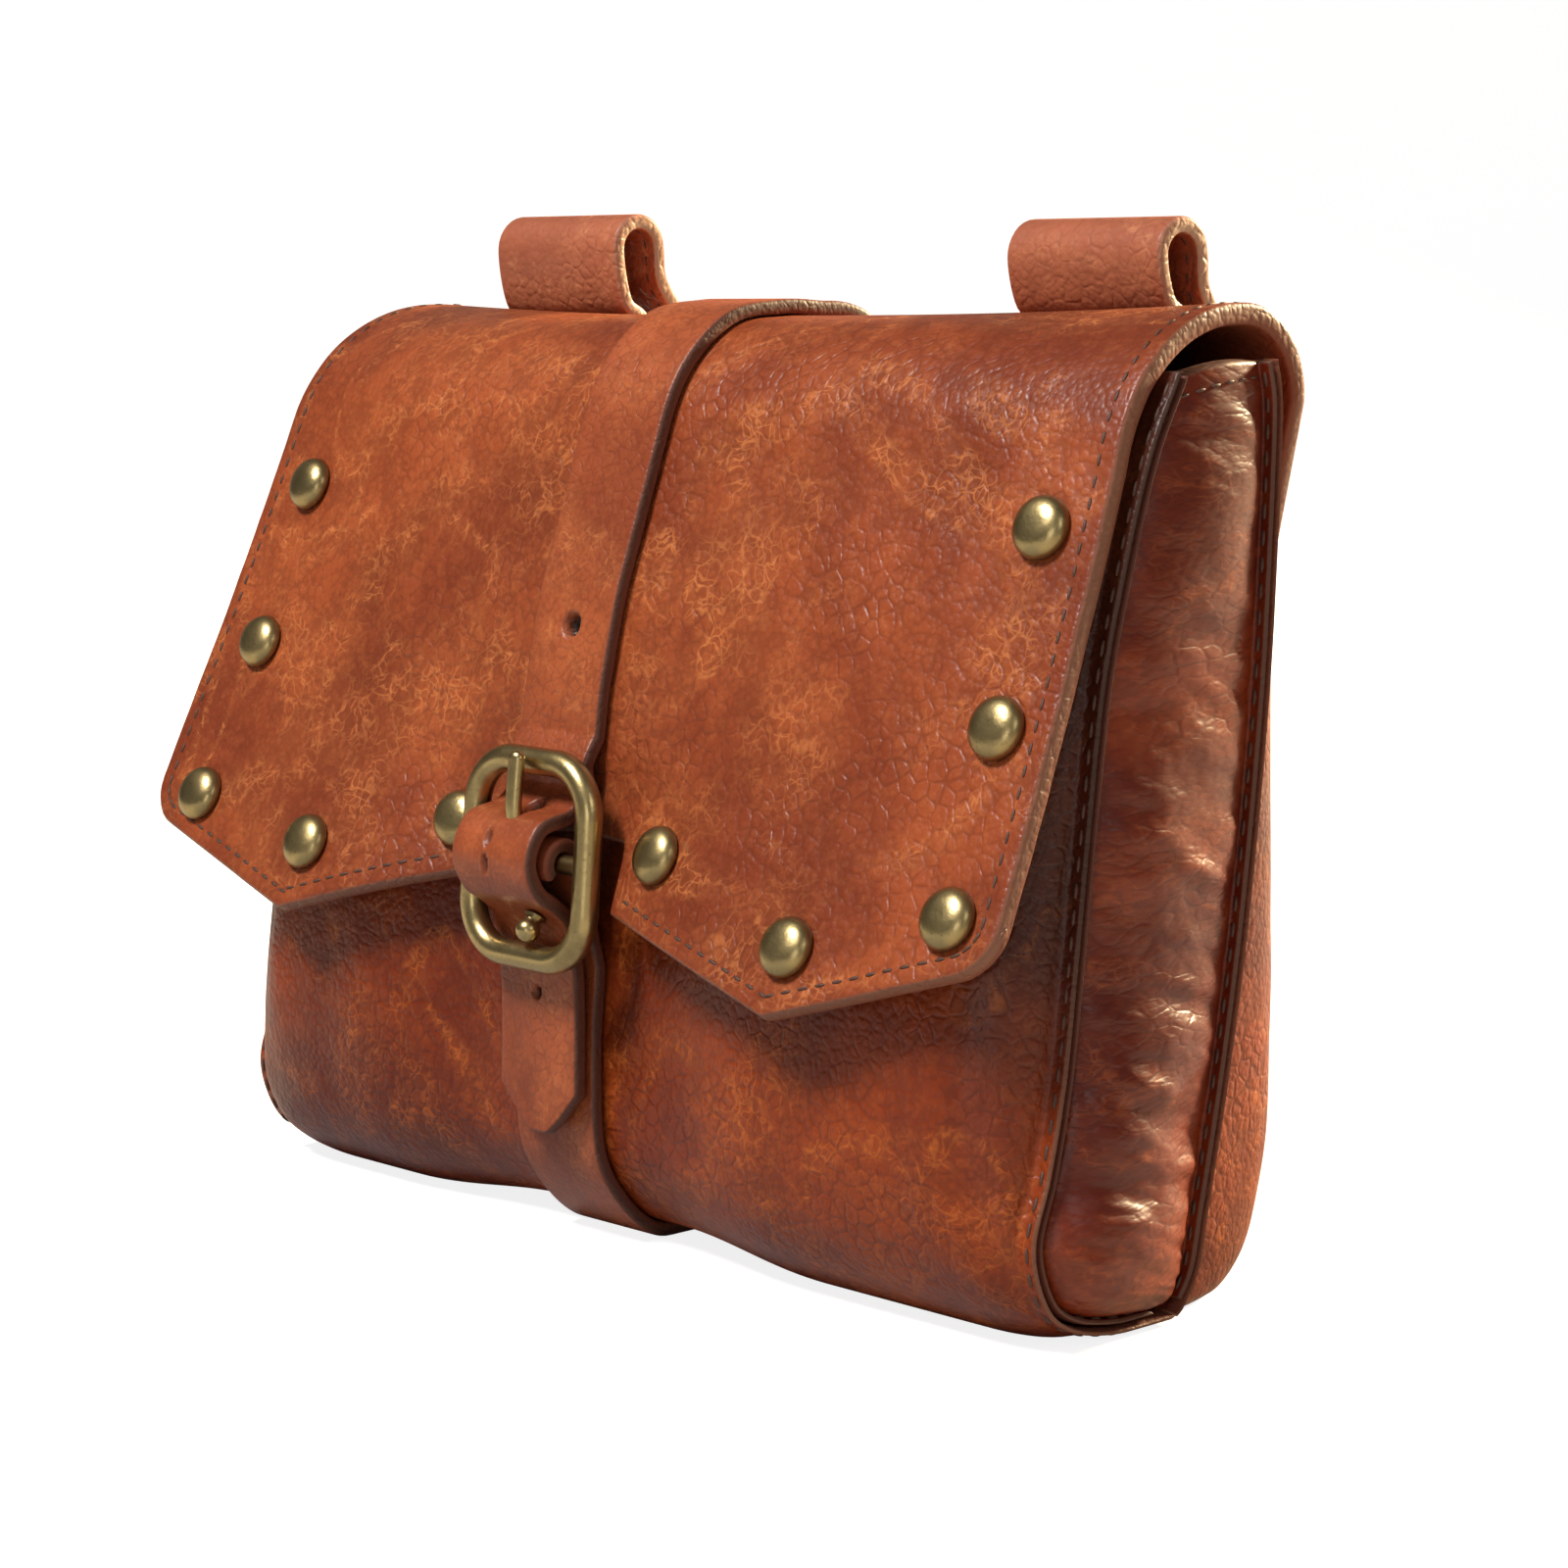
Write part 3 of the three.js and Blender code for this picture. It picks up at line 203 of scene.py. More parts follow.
def ripples(points: Array, scale: Sequence[float], seed: int, octaves: int = 3) -> Array:
    """Smooth random ripples: eased blends of lattice values, each octave twice as fine.

    Args:
        points: Points in millimetres, the last axis being x, y and z.
        scale: The size of a ripple along each axis in millimetres.
        seed: The seed of the lattice.
        octaves: How many finer layers are added.

    Returns:
        Values from about -1 to 1.
    """
    size = 24
    lattice = np.random.RandomState(seed).uniform(-1, 1, (size, size, size))
    total = np.zeros(points.shape[:-1])
    for octave in range(octaves):
        at = points / np.asarray(scale) * 2**octave + 7.3 * octave
        low = np.floor(at).astype(int)
        part = at - low
        part = part * part * (3 - 2 * part)
        value = np.zeros_like(total)
        for corner in range(8):
            pick = np.array([corner & 1, corner >> 1 & 1, corner >> 2 & 1])
            weight = np.prod(np.where(pick, part, 1 - part), axis=-1)
            i = (low + pick) % size
            value += weight * lattice[i[..., 0], i[..., 1], i[..., 2]]
        total += value / 2**octave
    return total


def along_points(points: Array, count: int) -> tuple[Array, Array]:
    """Even places along a centripetal curve through points of the y-z plane.

    Each stretch blends its four nearest points, weighted by the square roots of their
    distances, and the curve is then walked in equal steps.

    Args:
        points: The points that the curve passes, with x at nought.
        count: How many places are given back.

    Returns:
        The places and the unit normals to the left of the way.
    """
    ends = [2 * points[:1] - points[1:2], points, 2 * points[-1:] - points[-2:-1]]
    held = np.concatenate(ends)
    t = np.linspace(0, 1, 60, endpoint=False)[:, None]
    pieces = []
    for i in range(len(points) - 1):
        p = held[i:i + 4]
        gaps = np.maximum(np.sqrt(np.linalg.norm(np.diff(p, axis=0), axis=1)), 1e-4)
        start = (p[1] - p[0]) / gaps[0] - (p[2] - p[0]) / (gaps[0] + gaps[1])
        start = (start + (p[2] - p[1]) / gaps[1]) * gaps[1]
        end = (p[2] - p[1]) / gaps[1] - (p[3] - p[1]) / (gaps[1] + gaps[2])
        end = (end + (p[3] - p[2]) / gaps[2]) * gaps[1]
        pieces.append(
            p[1] * (2 * t**3 - 3 * t**2 + 1) + start * (t**3 - 2 * t**2 + t)
            + p[2] * (3 * t**2 - 2 * t**3) + end * (t**3 - t**2)
        )
    dense = np.concatenate([*pieces, points[-1:]])
    walked = walked_along(dense)
    even = read_off(np.linspace(0, walked[-1], count), walked, dense)
    way = unit(np.gradient(even, axis=0))
    return even, in_plane(way[:, 2], -way[:, 1])


# Meshes


def leaned(points: Array) -> Array:
    """Points with the pouch's upper part drawn up toward the right and down at the left."""
    share = smoothstep(points[..., 2], LEAN_FROM, CREST_HEIGHT)
    moved = points.copy()
    moved[..., 2] += CREST_LEAN * share * points[..., 0] / FLAP_HALF
    return moved


def grid_faces(rows: int, columns: int, closed: bool = False) -> Array:
    """Quads of a grid of points, joined across its columns where it is closed."""
    index = np.arange(rows * columns).reshape(rows, columns)
    if closed:
        index = np.concatenate([index, index[:, :1]], axis=1)
    corners = [index[:-1, :-1], index[:-1, 1:], index[1:, 1:], index[1:, :-1]]
    return np.stack(corners, axis=-1).reshape(-1, 4)


def facing_out(points: Array, faces: Array) -> Array:
    """The faces, turned round if they enclose a negative volume."""
    a, b, c, d = (points[faces[:, k]] for k in range(4))
    volume = np.einsum("ij,ij->i", a, np.cross(b, c)) + np.einsum("ij,ij->i", a, np.cross(c, d))
    return faces if volume.sum() > 0 else faces[:, ::-1]


def make_piece(
    name: str,
    points: Array,
    faces: Array,
    finish: bpy.types.Material,
    slot: Slot,
    replaced: Sequence[str] = (),
    marks: dict[str, Array] | None = None,
) -> bpy.types.Object:
    """Makes a mesh in place, dresses it and hangs it on the frame.

    Args:
        name: The piece's name.
        points: Points in millimetres in the drawing's frame.
        faces: Quads by point numbers; a triangle repeats its last point.
        finish: The material.
        slot: The record's material slot; not used.
        replaced: The CAD nodes that the piece stands for.
        marks: Values for each point by attribute name.

    Returns:
        The new object.
    """
    placed = (leaned(points) + ORIGIN) * MM
    faces = facing_out(placed, faces)
    mesh = bpy.data.meshes.new(name)
    corners = [list(dict.fromkeys(face)) for face in faces.tolist()]
    mesh.from_pydata(placed.tolist(), [], corners)
    mesh.polygons.foreach_set("use_smooth", np.full(len(mesh.polygons), True))
    for mark, values in (marks or {}).items():
        attribute = mesh.attributes.new(mark, "FLOAT", "POINT")
        attribute.data.foreach_set("value", np.asarray(values, np.float32).ravel())
    mesh.materials.append(finish)
    mesh.validate()
    piece = bpy.data.objects.new(name, mesh)
    bpy.context.scene.collection.objects.link(piece)
    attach(piece, RIDER)
    if replaced:
        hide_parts(*replaced)
    LOG.info("%s: %d points, %d faces", name, len(points), len(corners))
    return piece


@dataclass
class Sheet:
    """A leather sheet between two grids of points, rounded where it is cut."""

    outer: Array
    inner: Array
    edge: Array
    rounding: float = 0.8
    squareness: float = 2.6
    # Painted shade of each point, blended to near black: punched holes, and the front panel's sides
    # under the flap.
    shade: Array | None = None

    def build(self) -> tuple[Array, Array, dict[str, Array]]:
        """Draws both faces together along the cut and joins them there.

        The half thickness is scaled by a superellipse of the distance from the cut, so it
        is nought on the cut itself and whole beyond the rounding.

        Returns:
            Points, quads, and the distance from the cut and the face's side as marks.
        """
        held = 1 - np.clip(self.edge / self.rounding, 0, 1)
        share = (1 - held**self.squareness) ** (1 / self.squareness)
        middle = (self.outer + self.inner) / 2
        half = (self.outer - self.inner) / 2 * share[..., None]
        rows, columns = self.edge.shape
        count = rows * columns
        rim = np.zeros((rows, columns), bool)
        rim[[0, -1], :] = True
        rim[:, [0, -1]] = True
        number = np.arange(count).reshape(rows, columns)
        under = number.copy()
        under[~rim] = count + np.arange((~rim).sum())
        points = np.concatenate([(middle + half).reshape(-1, 3), (middle - half)[~rim]])
        top = grid_faces(rows, columns)
        bottom = under.ravel()[top][:, ::-1]
        edge = np.concatenate([self.edge.ravel(), self.edge[~rim]])
        flesh = np.concatenate([np.zeros(count), np.ones((~rim).sum())])
        marks = {"edge": edge, "flesh": flesh}
        if self.shade is not None:
            marks["shade"] = np.concatenate([self.shade.ravel(), self.shade[~rim]])
        return points, np.concatenate([top, bottom]), marks


def make_sheet(
    name: str, sheet: Sheet, finish: bpy.types.Material, slot: Slot, replaced: str
) -> None:
    """Makes a piece of a sheet with the sheet's marks.

    Args:
        name: The piece's name.
        sheet: The leather.
        finish: The material.
        slot: The record's material slot; not used.
        replaced: The CAD node that the piece stands for.
    """
    points, faces, marks = sheet.build()
    make_piece(name, points, faces, finish, slot, [replaced], marks)


def joined(parts: Sequence[tuple[Array, Array]]) -> tuple[Array, Array]:
    """Points and quads of several meshes as those of one mesh."""
    starts = np.cumsum([0] + [len(points) for points, _ in parts])
    quads = [faces + start for (_, faces), start in zip(parts, starts)]
    return np.concatenate([points for points, _ in parts]), np.concatenate(quads)


def distance_to_line(points: Array, line: Array) -> Array:
    """The distance of flat points from a broken line.

    Args:
        points: An array whose last axis holds two coordinates.
        line: The line's corners.

    Returns:
        The least distance over the line's stretches.
    """
    flat = points.reshape(-1, 2)
    best = np.full(len(flat), np.inf)
    for a, b in zip(line[:-1], line[1:]):
        way = b - a
        t = np.clip((flat - a) @ way / max(way @ way, 1e-12), 0, 1)
        best = np.minimum(best, np.linalg.norm(flat - a - t[:, None] * way, axis=1))
    return best.reshape(points.shape[:-1])


def lathe(profile: Sequence[tuple[float, float]], sides: int) -> tuple[Array, Array]:
    """A round solid about +Z: each row of radius and height is carried round the axis.

    Args:
        profile: Radius and height from the axis back to the axis.
        sides: How many steps make the circle.

    Returns:
        Points and quads.
    """
    radius, height = np.array(profile, float).T
    turn = np.linspace(0, 2 * np.pi, sides, endpoint=False)
    grid = in_plane(
        radius[:, None] * np.sin(turn), np.broadcast_to(height[:, None], (len(radius), sides)),
        radius[:, None] * np.cos(turn),
    )
    return grid.reshape(-1, 3), grid_faces(len(radius), sides, closed=True)


def stood(points: Array, at: Array, axis: Array) -> Array:
    """Points made about +Z, turned so that +Z points along an axis, and moved to a place."""
    axis = unit(axis)
    side = unit(np.cross([0.0, 0.0, 1.0] if abs(axis[2]) < 0.9 else [0.0, 1.0, 0.0], axis))
    up = np.cross(axis, side)
    return at + points[:, :1] * side + points[:, 1:2] * up + points[:, 2:] * axis


def swept(path: Array, side: Array, up: Array, half: Array, closed: bool) -> tuple[Array, Array]:
    """A rod: an ellipse with two half sizes carried along a path.

    Args:
        path: The middle of the rod.
        side: The unit direction of the first half size at each place.
        up: The unit direction of the second half size at each place.
        half: The two half sizes at each place.
        closed: Whether the path runs into itself.

    Returns:
        Points and quads.
    """
    turn = np.linspace(0, 2 * np.pi, 28, endpoint=False)
    grid = (
        path[:, None]
        + side[:, None] * (half[:, :1] * np.cos(turn))[..., None]
        + up[:, None] * (half[:, 1:] * np.sin(turn))[..., None]
    )
    rows, columns = grid.shape[:2]
    if closed:
        grid = np.concatenate([grid, grid[:1]])
        rows += 1
        faces = grid_faces(rows, columns, closed=True)
        faces = faces % ((rows - 1) * columns)
        return grid[:-1].reshape(-1, 3), faces
    return grid.reshape(-1, 3), grid_faces(rows, columns, closed=True)


def stitch_row(
    places: Array, way: Array, normal: Array, size: Sequence[float]
) -> tuple[Array, Array]:
    """Stitches along a seam: one small lens-shaped thread for each place.

    Args:
        places: The middle of each stitch.
        way: The unit direction of each stitch.
        normal: The unit normal of the leather at each stitch.
        size: Half length, half width and half height.

    Returns:
        Points and quads of all stitches.
    """
    turn = np.linspace(0, 2 * np.pi, 6, endpoint=False)
    rise = np.linspace(0, np.pi, 6)
    ring = np.sin(rise)[:, None] ** 0.7
    lens = in_plane(ring * np.cos(turn) * size[1], ring * np.sin(turn) * size[2],
                    np.broadcast_to(-np.cos(rise)[:, None] * size[0], (6, 6)))
    lens = lens.reshape(-1, 3)
    across = np.cross(normal, way)
    points = (
        places[:, None]
        + lens[None, :, :1] * way[:, None]
        + lens[None, :, 1:2] * across[:, None]
        + lens[None, :, 2:] * normal[:, None]
    )
    faces = grid_faces(6, 6, closed=True)
    steps = (np.arange(len(places)) * len(lens))[:, None, None]
    return points.reshape(-1, 3), (faces[None] + steps).reshape(-1, 4)


def even_walk(line: Array, pitch: float) -> tuple[Array, Array]:
    """Even places along a broken line and the unit directions there."""
    walked, step = walked_along(line), 0.3
    count = max(2, int(walked[-1] / pitch))
    at = (np.arange(count) + 0.5) * walked[-1] / count
    ahead, behind = read_off(at + step, walked, line), read_off(at - step, walked, line)
    return read_off(at, walked, line), unit(ahead - behind)


# Shader groups and finishes


class Desk:
    """Lays out the nodes of one tree."""

    def __init__(self, tree: bpy.types.NodeTree) -> None:
        """Keeps the tree that the nodes go into."""
        self.tree = tree

    def node(self, kind: str, inputs: dict | None = None, **settings: object) -> bpy.types.Node:
        """Adds a node.

        Args:
            kind: The node's type.
            inputs: Sockets or values by input name or number.
            settings: The node's own properties.

        Returns:
            The new node.
        """
        made = self.tree.nodes.new(kind)
        for name, value in settings.items():
            setattr(made, name, value)
        for name, value in (inputs or {}).items():
            if isinstance(value, Socket):
                self.tree.links.new(value, made.inputs[name])
            else:
                made.inputs[name].default_value = value
        return made

    def math(self, operation: str, a: object, b: object = 0.0, clamp: bool = False) -> Socket:
        """The output of a Math node."""
        made = self.node("ShaderNodeMath", {0: a, 1: b}, operation=operation, use_clamp=clamp)
        return made.outputs[0]

    def ramp(self, value: object, low: float, high: float, start: float = 0.0,
             end: float = 1.0) -> Socket:
        """The output of an eased Map Range node that runs from start to end."""
        inputs = {"Value": value, "From Min": low, "From Max": high, "To Min": start, "To Max": end}
        made = self.node("ShaderNodeMapRange", inputs, interpolation_type="SMOOTHSTEP")
        return made.outputs["Result"]

    def blend(self, share: object, a: object, b: object) -> Socket:
        """The colour output of a Mix node."""
        made = self.node("ShaderNodeMix", data_type="RGBA", clamp_factor=True)
        for number, value in ((0, share), (6, a), (7, b)):
            if isinstance(value, Socket):
                self.tree.links.new(value, made.inputs[number])
            else:
                made.inputs[number].default_value = value
        return made.outputs[2]

    def noise(self, vector: object, scale: object, detail: float = 3.0,
              **inputs: float) -> bpy.types.Node:
        """The Noise Texture node for a place."""
        values = {"Vector": vector, "Scale": scale, "Detail": detail, **inputs}
        return self.node("ShaderNodeTexNoise", values)

    def borders(self, vector: object, scale: object) -> Socket:
        """How far a place is from its cell's border: the second nearest seed less the nearest."""
        near, next_near = (
            self.node("ShaderNodeTexVoronoi", {"Vector": vector, "Scale": scale},
                      feature=feature).outputs["Distance"] for feature in ("F1", "F2"))
        return self.math("SUBTRACT", next_near, near)

    def moved(self, place: object, way: object, reach: object) -> Socket:
        """A place moved along a vector times its reach."""
        step = self.node("ShaderNodeVectorMath", {0: way, "Scale": reach}, operation="SCALE")
        return self.node("ShaderNodeVectorMath", {0: place, 1: step.outputs[0]},
                         operation="ADD").outputs[0]

    def surface(self, inputs: dict) -> None:
        """Lays the Principled BSDF and the material's output."""
        shader = self.node("ShaderNodeBsdfPrincipled", inputs)
        self.node("ShaderNodeOutputMaterial", {"Surface": shader.outputs[0]})


def new_finish(name: str) -> tuple[bpy.types.Material, Desk]:
    """An empty material and the desk for its nodes."""
    made = bpy.data.materials.new(name)
    made.use_nodes = True
    made.node_tree.nodes.clear()
    return made, Desk(made.node_tree)


def make_group(
    name: str,
    inputs: Sequence[tuple[str, str, float]],
    outputs: Sequence[tuple[str, str]],
    fill: Callable[[Desk, bpy.types.Node], dict[str, Socket]],
) -> bpy.types.NodeTree:
    """Builds a shader node group once.

    Args:
        name: The group's name.
        inputs: Socket type, name and first value of each input.
        outputs: Socket type and name of each output.
        fill: Lays the group's nodes and gives the sockets of the outputs by name.

    Returns:
        The group.
    """
    tree = bpy.data.node_groups.new(name, "ShaderNodeTree")
    for kind, label, value in inputs:
        socket = tree.interface.new_socket(label, in_out="INPUT", socket_type=kind)
        if kind == "NodeSocketFloat":
            socket.default_value = value
    for kind, label in outputs:
        tree.interface.new_socket(label, in_out="OUTPUT", socket_type=kind)
    desk = Desk(tree)
    made = fill(desk, desk.node("NodeGroupInput"))
    desk.node("NodeGroupOutput", made)
    return tree


def fill_crackle(desk: Desk, given: bpy.types.Node) -> dict[str, Socket]:
    """Pale cracks of a waxed hide that was bent: warped cell borders, gathered in swirls."""
    place, scale = given.outputs["Vector"], given.outputs["Scale"]
    warp = desk.noise(place, 70.0, 3.0, Roughness=0.68)
    centred = desk.node("ShaderNodeVectorMath", {0: warp.outputs["Color"], 1: (0.5,) * 3},
                        operation="SUBTRACT").outputs[0]
    bent = desk.moved(place, centred, given.outputs["Warp"])
    lines = []
    for factor, width in ((1.0, 0.075), (2.2, 0.11)):
        fine = desk.math("MULTIPLY", scale, factor)
        lines.append(desk.ramp(desk.borders(bent, fine), 0.0, width, 1.0, 0.0))
    both = desk.math("MAXIMUM", lines[0], desk.math("MULTIPLY", lines[1], 0.85))
    swirl = desk.noise(place, 17.0, 2.0, Distortion=1.6).outputs["Fac"]
    band = desk.math("ABSOLUTE", desk.math("SUBTRACT", swirl, 0.5))
    band = desk.ramp(band, 0.0, 0.045, 1.0, 0.0)
    patch = desk.ramp(desk.noise(place, 34.0, 2.0, Distortion=1.4).outputs["Fac"], 0.44, 0.68)
    where = desk.math("MAXIMUM", desk.math("MULTIPLY", patch, 0.85), band)
    broken = desk.ramp(desk.noise(place, 170.0, 2.0).outputs["Fac"], 0.34, 0.56)
    gathered = desk.math("MULTIPLY", desk.math("MULTIPLY", both, where), broken, clamp=True)
    return {"Cracks": gathered, "Band": where}


def fill_grain(desk: Desk, given: bpy.types.Node) -> dict[str, Socket]:
    """The hide's pebbled grain and short creases as a height."""
    place, scale = given.outputs["Vector"], given.outputs["Scale"]
    cells = desk.node("ShaderNodeTexVoronoi", {"Vector": place, "Scale": scale},
                      feature="F1").outputs["Distance"]
    pebble = desk.ramp(cells, 0.25, 0.75, 1.0, 0.0)
    crease = desk.ramp(desk.borders(place, desk.math("MULTIPLY", scale, 0.42)), 0.0, 0.28)
    where = desk.ramp(desk.noise(place, 42.0, 2.0).outputs["Fac"], 0.36, 0.62, 0.12, 0.8)
    crease = desk.math("MULTIPLY", crease, where)
    soft = desk.noise(place, desk.math("MULTIPLY", scale, 0.2), 2.0).outputs["Fac"]
    height = desk.math("ADD", desk.math("MULTIPLY", pebble, 0.2),
                       desk.math("MULTIPLY", crease, 0.4))
    height = desk.math("ADD", height, desk.math("MULTIPLY", soft, 0.9))
    return {"Height": height}


def fill_wear(desk: Desk, given: bpy.types.Node) -> dict[str, Socket]:
    """Masks of the cut edge itself and of the rubbed leather beside it."""
    edge = given.outputs["Edge"]
    ragged = desk.noise(given.outputs["Vector"], 220.0, 3.0).outputs["Fac"]
    uneven = desk.math("ADD", edge, desk.math("MULTIPLY", desk.math("SUBTRACT", ragged, 0.5), 1.6))
    cut = desk.ramp(edge, 0.2, 0.55, 1.0, 0.0)
    beside = desk.ramp(uneven, 0.5, given.outputs["Width"], 1.0, 0.0)
    return {"Cut": cut, "Rubbed": beside}


class Groups:
    """The shader groups that the finishes share."""

    def __init__(self) -> None:
        """Builds each group once."""
        vector, number = "NodeSocketVector", "NodeSocketFloat"
        self.crackle = make_group(
            "hide_crackle",
            [(vector, "Vector", 0), (number, "Scale", 150), (number, "Warp", 0.012)],
            [(number, "Cracks"), (number, "Band")], fill_crackle,
        )
        self.grain = make_group(
            "hide_grain", [(vector, "Vector", 0), (number, "Scale", 900)],
            [(number, "Height")], fill_grain,
        )
        self.wear = make_group(
            "edge_wear", [(vector, "Vector", 0), (number, "Edge", 10), (number, "Width", 3)],
            [(number, "Cut"), (number, "Rubbed")], fill_wear,
        )


@dataclass(frozen=True)
class HideFinish:
    """Waxed pull-up leather: a dark dye that pales where the hide is bent or rubbed, with painted
    shade in the grain's low places and where a shade mark is set.
    """

    name: str
    dark: tuple[float, float, float]
    base: tuple[float, float, float]
    pale: tuple[float, float, float]
    cut: tuple[float, float, float]
    roughness: float = 0.4
    crack_scale: float = 190.0
    crack_amount: float = 0.55
    grain_scale: float = 900.0
    relief: float = 0.00028
    stretch: tuple[float, float, float] = (1.0, 1.0, 1.0)
    coat: float = 0.06
    rubbed: float = 0.4

    def build(self, groups: Groups) -> bpy.types.Material:
        """Lays the finish's nodes.

        Args:
            groups: The shared shader groups.

        Returns:
            The material.
        """
        made, desk = new_finish(self.name)
        place = desk.node("ShaderNodeTexCoord").outputs["Object"]
        place = desk.node("ShaderNodeMapping", {"Vector": place, "Scale": self.stretch}).outputs[0]
        edge = desk.node("ShaderNodeAttribute", attribute_name="edge").outputs["Fac"]
        flesh = desk.node("ShaderNodeAttribute", attribute_name="flesh").outputs["Fac"]
        crackle = desk.node("ShaderNodeGroup", node_tree=groups.crackle)
        grain = desk.node("ShaderNodeGroup", node_tree=groups.grain)
        wear = desk.node("ShaderNodeGroup", node_tree=groups.wear)
        for group in (crackle, grain, wear):
            desk.tree.links.new(place, group.inputs["Vector"])
        crackle.inputs["Scale"].default_value = self.crack_scale
        grain.inputs["Scale"].default_value = self.grain_scale
        desk.tree.links.new(edge, wear.inputs["Edge"])
        dark, base, pale, cut = ((*c, 1.0) for c in (self.dark, self.base, self.pale, self.cut))
        mottle = desk.noise(place, 24.0, 3.0, Roughness=0.55, Distortion=0.5).outputs["Fac"]
        colour = desk.blend(desk.ramp(mottle, 0.36, 0.66), dark, base)
        fine = desk.noise(place, 430.0, 2.0, Roughness=0.7).outputs["Fac"]
        colour = desk.blend(desk.ramp(fine, 0.45, 0.8, 0.0, 0.12), colour, pale)
        colour = desk.blend(desk.math("MULTIPLY", crackle.outputs["Band"], 0.08), colour, pale)
        cracks = desk.math("MULTIPLY", crackle.outputs["Cracks"], self.crack_amount)
        colour = desk.blend(cracks, colour, pale)
        shaded = desk.ramp(grain.outputs["Height"], 0.45, 0.8, 0.35, 0.0)
        colour = desk.blend(shaded, colour, (*[c * 0.55 for c in self.dark], 1.0))
        rubbed = desk.math("MULTIPLY", wear.outputs["Rubbed"], self.rubbed)
        colour = desk.blend(rubbed, colour, dark)
        colour = desk.blend(desk.math("MULTIPLY", wear.outputs["Cut"], 0.92), colour, cut)
        colour = desk.blend(desk.math("MULTIPLY", flesh, 0.5), colour, dark)
        # Painted shade: where the shade mark is set, the colour goes to near black, in punched
        # holes and under the flap's edges.
        shade = desk.node("ShaderNodeAttribute", attribute_name="shade").outputs["Fac"]
        colour = desk.blend(shade, colour, (0.012, 0.006, 0.004, 1.0))
        rough = desk.math("ADD", desk.math("MULTIPLY", mottle, 0.16), self.roughness - 0.08)
        rough = desk.math("ADD", rough, desk.math("MULTIPLY", cracks, 0.12))
        rough = desk.math("ADD", rough, desk.math("MULTIPLY", wear.outputs["Cut"], 0.12))
        rough = desk.math("ADD", rough, desk.math("MULTIPLY", flesh, 0.3), clamp=True)
        bump = desk.node("ShaderNodeBump", {"Height": grain.outputs["Height"],
                                            "Distance": self.relief, "Strength": 1.0})
        desk.surface({
            "Base Color": colour, "Roughness": rough, "Normal": bump.outputs[0],
            "Coat Weight": self.coat, "Coat Roughness": 0.28, "Specular IOR Level": 0.3,
        })
        return made


@dataclass(frozen=True)
class BrassFinish:
    """Old brass: rubbed bright in the open and darker where it is seldom touched."""

    name: str
    bright: tuple[float, float, float] = (0.46, 0.34, 0.15)
    dull: tuple[float, float, float] = (0.17, 0.12, 0.05)

    def build(self) -> bpy.types.Material:
        """Lays the finish's nodes."""
        made, desk = new_finish(self.name)
        place = desk.node("ShaderNodeTexCoord").outputs["Object"]
        edge = desk.node("ShaderNodeAttribute", attribute_name="edge").outputs["Fac"]
        cloud = desk.noise(place, 190.0, 5.0, Roughness=0.65).outputs["Fac"]
        speck = desk.noise(place, 1500.0, 2.0).outputs["Fac"]
        low = desk.ramp(edge, 0.0, 1.0, 0.75, 0.0)
        share = desk.math("MAXIMUM", low, desk.ramp(cloud, 0.45, 0.75, 0.0, 0.5))
        colour = desk.blend(share, (*self.bright, 1.0), (*self.dull, 1.0))
        colour = desk.blend(desk.ramp(speck, 0.62, 0.72, 0.0, 0.4), colour, (*self.dull, 1.0))
        rough = desk.math("ADD", desk.math("MULTIPLY", cloud, 0.22), 0.2)
        rough = desk.math("ADD", rough, desk.math("MULTIPLY", share, 0.12))
        bump = desk.node("ShaderNodeBump", {"Height": desk.math("ADD", cloud, speck),
                                            "Distance": 0.00004, "Strength": 0.7})
        desk.surface({
            "Base Color": colour, "Roughness": rough, "Normal": bump.outputs[0],
            "Metallic": 1.0,
        })
        return made


@dataclass(frozen=True)
class ThreadFinish:
    """Waxed thread with a fine twist."""

    name: str
    colour: tuple[float, float, float]

    def build(self) -> bpy.types.Material:
        """Lays the finish's nodes."""
        made, desk = new_finish(self.name)
        place = desk.node("ShaderNodeTexCoord").outputs["Object"]
        twist = desk.noise(place, 2400.0, 2.0).outputs["Fac"]
        colour = desk.blend(desk.ramp(twist, 0.3, 0.7), (*[c * 0.6 for c in self.colour], 1.0),
                            (*self.colour, 1.0))
        bump = desk.node("ShaderNodeBump", {"Height": twist, "Distance": 0.00006})
        desk.surface({
            "Base Color": colour, "Roughness": 0.6, "Normal": bump.outputs[0],
        })
        return made


